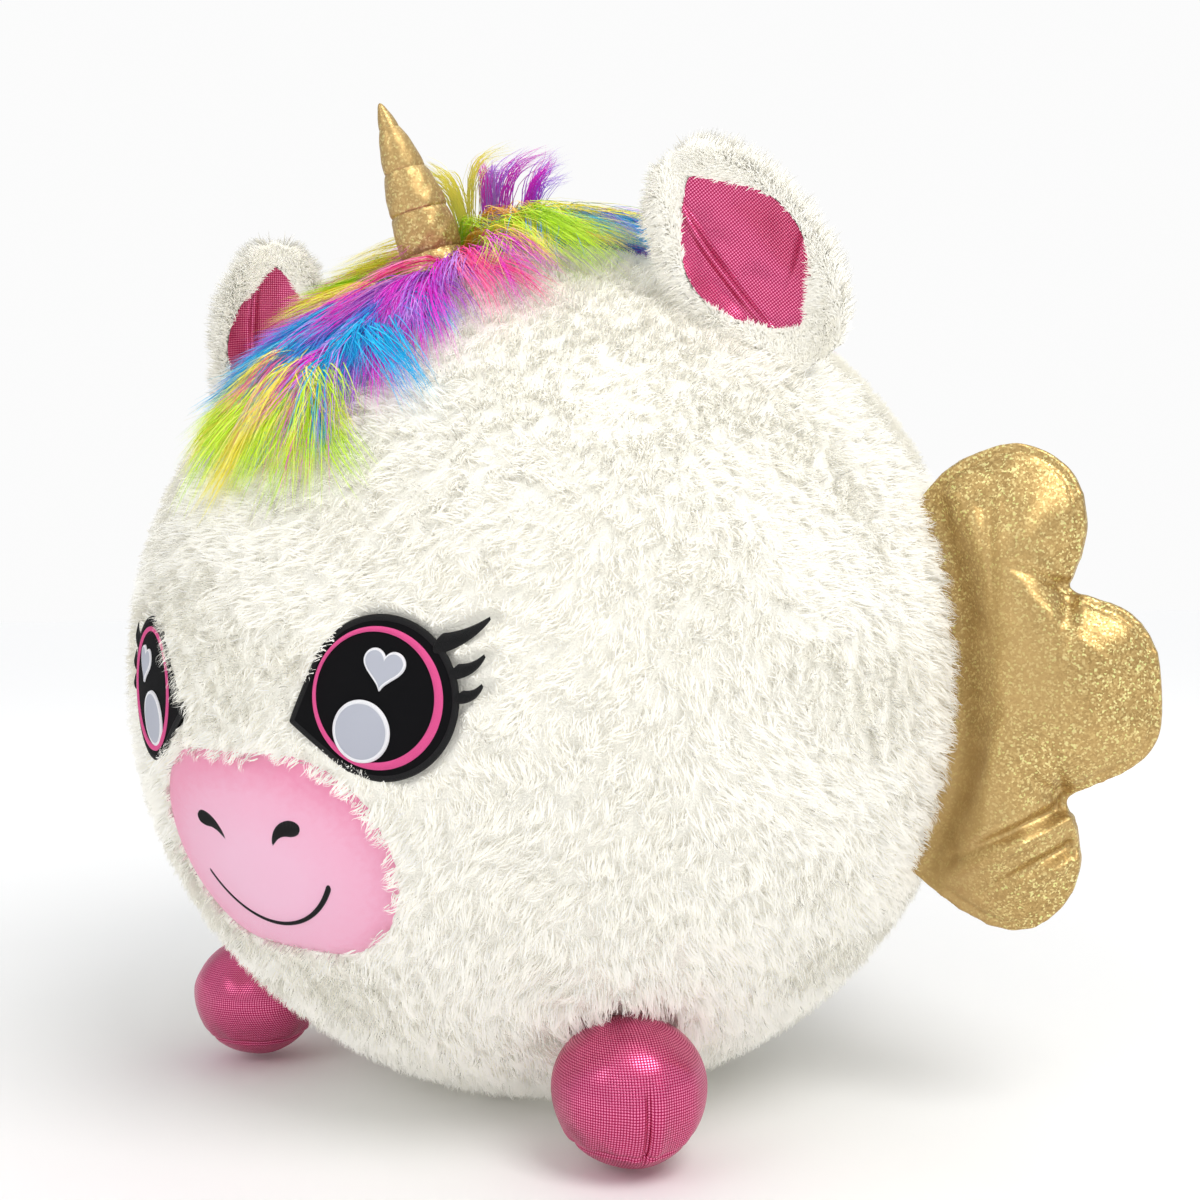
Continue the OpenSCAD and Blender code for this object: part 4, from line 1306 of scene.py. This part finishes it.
# the edge from one sharp corner to the next: out from the seam and up
WING_EDGES = [
    [(-0.020, 0.321), (0.004, 0.344), (0.036, 0.354), (0.062, 0.341),
     (0.0715, 0.316), (0.069, 0.296), (0.063, 0.278)],
    [(0.063, 0.278), (0.074, 0.2745), (0.092, 0.266), (0.104, 0.248),
     (0.107, 0.220), (0.104, 0.201), (0.092, 0.187), (0.060, 0.170)],
    [(0.060, 0.170), (0.066, 0.150), (0.064, 0.128), (0.052, 0.110),
     (0.032, 0.101), (0.008, 0.109), (-0.024, 0.131)],
]


def smooth_line(points, count):
    """A line that runs smoothly through all its points."""
    p = np.array(points)
    p = np.concatenate([[2 * p[0] - p[1]], p, [2 * p[-1] - p[-2]]])
    t = np.linspace(0, len(points) - 1 - 1e-9, count)
    i = t.astype(int)
    f = (t - i)[:, None]
    a, b, c, d = p[i], p[i + 1], p[i + 2], p[i + 3]
    curve = (2 * a - 5 * b + 4 * c - d) * f ** 2
    return 0.5 * (2 * b + (c - a) * f + curve + (3 * b - a - 3 * c + d) * f ** 3)


def wing_root_at(up):
    """How far out from the seam's middle the wing's root lies at a height: it follows the ball."""
    return np.sqrt(WING_SEAM_R ** 2 - (up - BALL_Z) ** 2) - WING_SEAM_R


def wing_outline(count=300):
    lines = [smooth_line(edge, 120)[:-1] for edge in WING_EDGES]
    up = np.linspace(WING_EDGES[-1][-1][1], WING_EDGES[0][0][1], 60)
    root = np.stack([wing_root_at(up) - 0.001, up], -1)
    return even_loop(np.concatenate(lines + [root]), count)


def wing_frame(side):
    a, h = math.radians(WING_SEAM), math.radians(WING_HEADING)
    origin = np.array([WING_SEAM_R * math.sin(a) * side, -WING_SEAM_R * math.cos(a), 0.0])
    out = np.array([math.sin(h) * side, -math.cos(h), 0.0])
    front = np.array([math.sin(h - math.pi / 2) * side, -math.cos(h - math.pi / 2), 0.0])
    return origin, out, front


def wing_world(side, local):
    """From out along the wing, up, and to its front."""
    origin, out, front = wing_frame(side)
    return origin + local[..., :1] * out + local[..., 1:2] * np.array([0, 0, 1.0]) + local[..., 2:3] * front


def wing_start_mesh(name, loop):
    """A flat slab in the wing's own plane, remeshed to even quads."""
    n = len(loop)
    flat = np.concatenate([loop, loop])
    height = np.repeat([WING_SLAB, -WING_SLAB], n)
    faces = [tuple(range(n)), tuple(reversed(range(n, 2 * n)))]
    faces += [(i, i + n, (i + 1) % n + n, (i + 1) % n) for i in range(n)]
    obj = mesh_object(name, np.concatenate([flat, height[:, None]], 1), faces)
    remesh = obj.modifiers.new("even", "REMESH")
    remesh.mode = "VOXEL"
    remesh.voxel_size = 0.0036
    remesh.use_smooth_shade = True
    return baked(obj)


def baked(obj):
    """The object with its modifiers applied to a new mesh."""
    evaluated = obj.evaluated_get(bpy.context.evaluated_depsgraph_get())
    mesh = bpy.data.meshes.new_from_object(evaluated)
    obj.modifiers.clear()
    obj.data = mesh
    return obj


def cloth_puff(obj, pressure, frames, cap, pinned):
    """Inflates a closed cloth for a few frames. No point moves further than cap, and pinned ones stay."""
    start = mesh_vectors(obj.data, "co")
    group = obj.vertex_groups.new(name="pin")
    group.add([int(i) for i in np.flatnonzero(pinned)], 1.0, "REPLACE")
    cloth = obj.modifiers.new("cloth", "CLOTH")
    settings = dict(
        use_pressure=True, uniform_pressure_force=pressure, vertex_group_mass="pin", quality=6, mass=0.25,
        tension_stiffness=30, compression_stiffness=20, shear_stiffness=12, bending_stiffness=0.4)
    for key, value in settings.items():
        setattr(cloth.settings, key, value)
    cloth.settings.effector_weights.gravity = 0
    cloth.collision_settings.use_collision = False
    cloth.point_cache.frame_start = 1
    cloth.point_cache.frame_end = frames
    for number in range(1, frames + 1):
        bpy.context.scene.frame_set(number)
    evaluated = obj.evaluated_get(bpy.context.evaluated_depsgraph_get())
    move = mesh_vectors(evaluated.data, "co") - start
    obj.modifiers.remove(cloth)
    bpy.context.scene.frame_set(1)
    far = np.linalg.norm(move, axis=1, keepdims=True).clip(1e-9)
    return start + move * np.minimum(1, cap / far)


def mesh_vectors(mesh, kind):
    """The places (co) or normals (normal) of a mesh's points."""
    found = np.zeros(len(mesh.vertices) * 3, np.float32)
    mesh.vertices.foreach_get(kind, found)
    return found.reshape(-1, 3).astype(float)


def make_wing(side, gold):
    label = "left" if side > 0 else "right"
    loop = wing_outline()
    obj = wing_start_mesh(f"wing_{label}_cloth", loop)
    points = mesh_vectors(obj.data, "co")
    off_root = points[:, 0] - wing_root_at(points[:, 1])
    puffed = cloth_puff(obj, 4.0, 20, 0.014, off_root < WING_BAND * 0.6)
    # the cloth's swelling stays, and its outline, which shrinks, goes most of the way back to the pattern
    puffed[:, :2] = puffed[:, :2] * 0.2 + points[:, :2] * 0.8
    points = puffed
    stuffed = ((off_root - WING_BAND * 0.5) / 0.020).clip(0, 1)
    stuffed = stuffed * stuffed * (3 - 2 * stuffed)
    inside = wing_inside(points, loop)
    grow = np.sqrt((inside / 0.030).clip(0, 1)) * 0.0040 * stuffed
    sign = np.sign(points[:, 2])
    points[:, 2] = points[:, 2] * (0.25 + 0.75 * stuffed) + sign * grow
    set_points(obj.data, points)
    sub = obj.modifiers.new("finer", "SUBSURF")
    sub.levels = sub.render_levels = 2
    baked(obj)
    points = mesh_vectors(obj.data, "co")
    normals = mesh_vectors(obj.data, "normal")
    inside = wing_inside(points, loop)
    face = np.abs(normals[:, 2])
    seam = 0.0009 * hill(points[:, 2], 0.0007) * (1 - face)
    allowance = 0.0013 * hill(inside - 0.0024, 0.0016) - 0.0011 * hill(inside - 0.0056, 0.0016)
    turn = np.arctan2(points[:, 1] - 0.225, points[:, 0] - 0.03)
    pucker = 0.00035 * np.sin(turn * 70 + 2 * np.sin(turn * 9)) * hill(inside, 0.006)
    off_root = points[:, 0] - wing_root_at(points[:, 1])
    open_cloth = ((off_root - WING_BAND * 0.5) / 0.012).clip(0, 1)
    crease = wing_creases(points) * open_cloth
    points += normals * ((allowance + pucker) * face * open_cloth - seam - crease * face)[:, None]
    set_points(obj.data, wing_world(side, points))
    if side < 0:
        obj.data.flip_normals()
    obj.data.materials.clear()
    obj.data.materials.append(gold)
    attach(obj, f"{label}_wing")
    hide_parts(f"wing_front_{label}", f"wing_back_{label}", f"wing_wadding_{label}")


def set_points(mesh, points):
    mesh.vertices.foreach_set("co", points.astype(np.float32).reshape(-1))
    mesh.update()


def wing_inside(points, loop):
    """How far each point lies inside the wing's outline, from the seamed edges and not from the root."""
    flat = points[:, :2]
    best = np.full(len(flat), 1.0)
    for x, y in loop:
        if x > wing_root_at(y) + 0.004:
            best = np.minimum(best, np.hypot(flat[:, 0] - x, flat[:, 1] - y))
    return best


WING_CREASES = [  # start, end, depth at the start, width
    ((0.063, 0.278), (0.036, 0.289), 0.0050, 0.0028),
    ((0.063, 0.277), (0.058, 0.246), 0.0040, 0.0045),
    ((0.066, 0.276), (0.070, 0.250), -0.0024, 0.0040),
    ((0.060, 0.170), (0.040, 0.184), 0.0042, 0.0040),
    ((0.060, 0.170), (0.052, 0.198), 0.0036, 0.0035),
    ((0.060, 0.168), (0.000, 0.139), 0.0060, 0.0034),
    ((0.058, 0.160), (0.004, 0.130), -0.0040, 0.0036),
    ((0.062, 0.148), (0.018, 0.122), 0.0056, 0.0036),
    ((0.060, 0.140), (0.026, 0.117), -0.0030, 0.0034),
    ((0.006, 0.325), (0.010, 0.215), -0.0030, 0.0060),
    ((0.022, 0.320), (0.024, 0.215), 0.0040, 0.0065),
    ((0.024, 0.215), (0.004, 0.165), 0.0016, 0.0060),
]


def wing_creases(points):
    """How deep the cloth is drawn in by its creases, which fade towards their ends."""
    x, y = points[:, 0], points[:, 1]
    total = np.zeros(len(points))
    for (x0, y0), (x1, y1), depth, width in WING_CREASES:
        off = capsule_distance(x, y, x0, y0, x1, y1, 0.0, 0.0)
        total += depth * (1 - 0.7 * along_bar(x, y, x0, y0, x1, y1)) * hill(off, width)
    return total


# ---------------------------------------------------------------- feet

def make_foot(side, cloth):
    """A stuffed ball of cloth, with a dart down its front, a gathered ring under it and a flatter top."""
    label = "left" if side > 0 else "right"
    centre = np.array([(FOOT_C.x if side > 0 else -FOOT_C.x), FOOT_C.y, FOOT_Z])
    heading = math.atan2(centre[0], -centre[1])
    el = np.radians(np.linspace(-90, 90, 140))[:, None]
    az = np.linspace(0, 2 * np.pi, 300, endpoint=False)[None, :]
    front = np.angle(np.exp(1j * az))
    along = np.clip((0.42 - el) / 0.3, 0, 1) * np.clip((el + 0.95) / 0.2, 0, 1)
    dart = hill(front, 0.035) * along
    beside = hill(np.abs(front) - 0.16, 0.10) * along
    ring = hill(el + 0.72, 0.04)
    r = FOOT_R - 0.0022 * dart + 0.0010 * beside - 0.0012 * ring
    r = r + 0.0007 * np.sin(3 * az + 1) * np.cos(el) + 0.0004 * np.sin(11 * az) * hill(el + 0.60, 0.12)
    x = r * np.cos(el) * np.sin(heading + az)
    y = -r * np.cos(el) * np.cos(heading + az)
    z = r * np.sin(el) * np.where(el > 0, 0.86, 1.0) + 0 * az
    points = centre + np.stack([x, y, z], -1)
    points[..., 2] = points[..., 2].clip(0.0006)
    obj = grid_object(f"foot_{label}_cloth", points, cloth, True)
    turn = np.where(az > np.pi, az - 2 * np.pi, az)
    set_uv(obj, np.stack([turn * np.cos(el) * FOOT_R, el * FOOT_R + 0 * az], -1).reshape(-1, 2))
    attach(obj, "ball")
    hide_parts(f"foot_cover_{label}", f"foot_filling_{label}")


# ---------------------------------------------------------------- zip, label and what lies inside

def plain_cloth(name, colour, scale=900.0, roughness=0.8):
    """Close woven cloth: crossing threads, with a little variation in tone."""
    mat, nodes, shader = new_material(name, colour, roughness, Sheen_Weight=0.15)
    threads = []
    for direction in ("X", "Z"):
        wave = add(nodes, "ShaderNodeTexWave", Scale=scale / 3, Distortion=0.4, Vector=object_place(nodes))
        wave.bands_direction = direction
        threads.append(wave.outputs["Fac"])
    woven = maths(nodes, "MAXIMUM", *threads)
    tones = ramp(nodes, woven, [(0.0, shade(colour, 0.86)), (1.0, colour)])
    wire(shader, Base_Color=tones, Normal=bumped(nodes, woven, 0.5, 0.0003))
    return mat


def moulded(name, colour, roughness, metallic=0.0, scale=60.0):
    """Moulded plastic, vinyl or cast metal: faint mottling and handling marks in its gloss."""
    mat, nodes, shader = new_material(name, colour, roughness, Metallic=metallic)
    marks = clouds(nodes, scale, 5.0)
    fine = clouds(nodes, scale * 14, 2.0)
    gloss = spread(nodes, marks, To_Min=roughness * 0.75, To_Max=min(roughness * 1.3, 1))
    wire(shader, Roughness=gloss, Normal=bumped(nodes, fine, 0.2, 0.0002))
    return mat


def paint_nodes():
    paints = {
        moulded("ball_vinyl", (0.86, 0.86, 0.88), 0.35): ["air_ball", "valve_seat"],
        moulded("valve_plastic", (0.92, 0.92, 0.92), 0.45): ["valve_plug"],
        plain_cloth("zip_cloth", (0.90, 0.89, 0.84)): ["zip_tape_left", "zip_tape_right"],
        moulded("zip_coil", (0.88, 0.87, 0.82), 0.35, 0.0, 300.0): ["zip_coil_left", "zip_coil_right"],
        moulded("zip_metal", (0.72, 0.72, 0.74), 0.28, 1.0, 200.0): ["zip_stops", "zip_slider", "zip_pull"],
        plain_cloth("label_cloth", (0.93, 0.93, 0.92), 1500.0, 0.55): ["care_label"],
    }
    for mat, names in paints.items():
        for name in names:
            data = frame["nodes"][name].data
            data.materials.clear()
            data.materials.append(mat)


# ---------------------------------------------------------------- the scene

make_camera()
make_light()
make_floor()
make_ball_skin()
make_ball_pile(18000, 18)
NEAR_BLACK = (0.004, 0.004, 0.005)
black_thread = thread_material("black_thread", NEAR_BLACK)
eye_mats = (
    black_thread,
    felt_material("black_felt", NEAR_BLACK),
    thread_material("pink_thread", (0.78, 0.09, 0.30), 0.45, 0.05),
    thread_material("white_thread", (0.86, 0.86, 0.90), 0.45, 0.1),
    felt_material("grey_felt", (0.52, 0.54, 0.62), 0.9, 0.1),
)
for side in (-1, 1):
    make_eye(side, eye_mats)
make_muzzle(black_thread)
gold = gold_material()
make_horn(gold)
make_mane()
make_tail()
rose = dot_material("metallic_pink", (0.36, 0.008, 0.075), (0.90, 0.22, 0.42))
for label in ("left", "right"):
    make_ear(label, rose)
for side in (-1, 1):
    make_wing(side, gold)
    make_foot(side, rose)
paint_nodes()
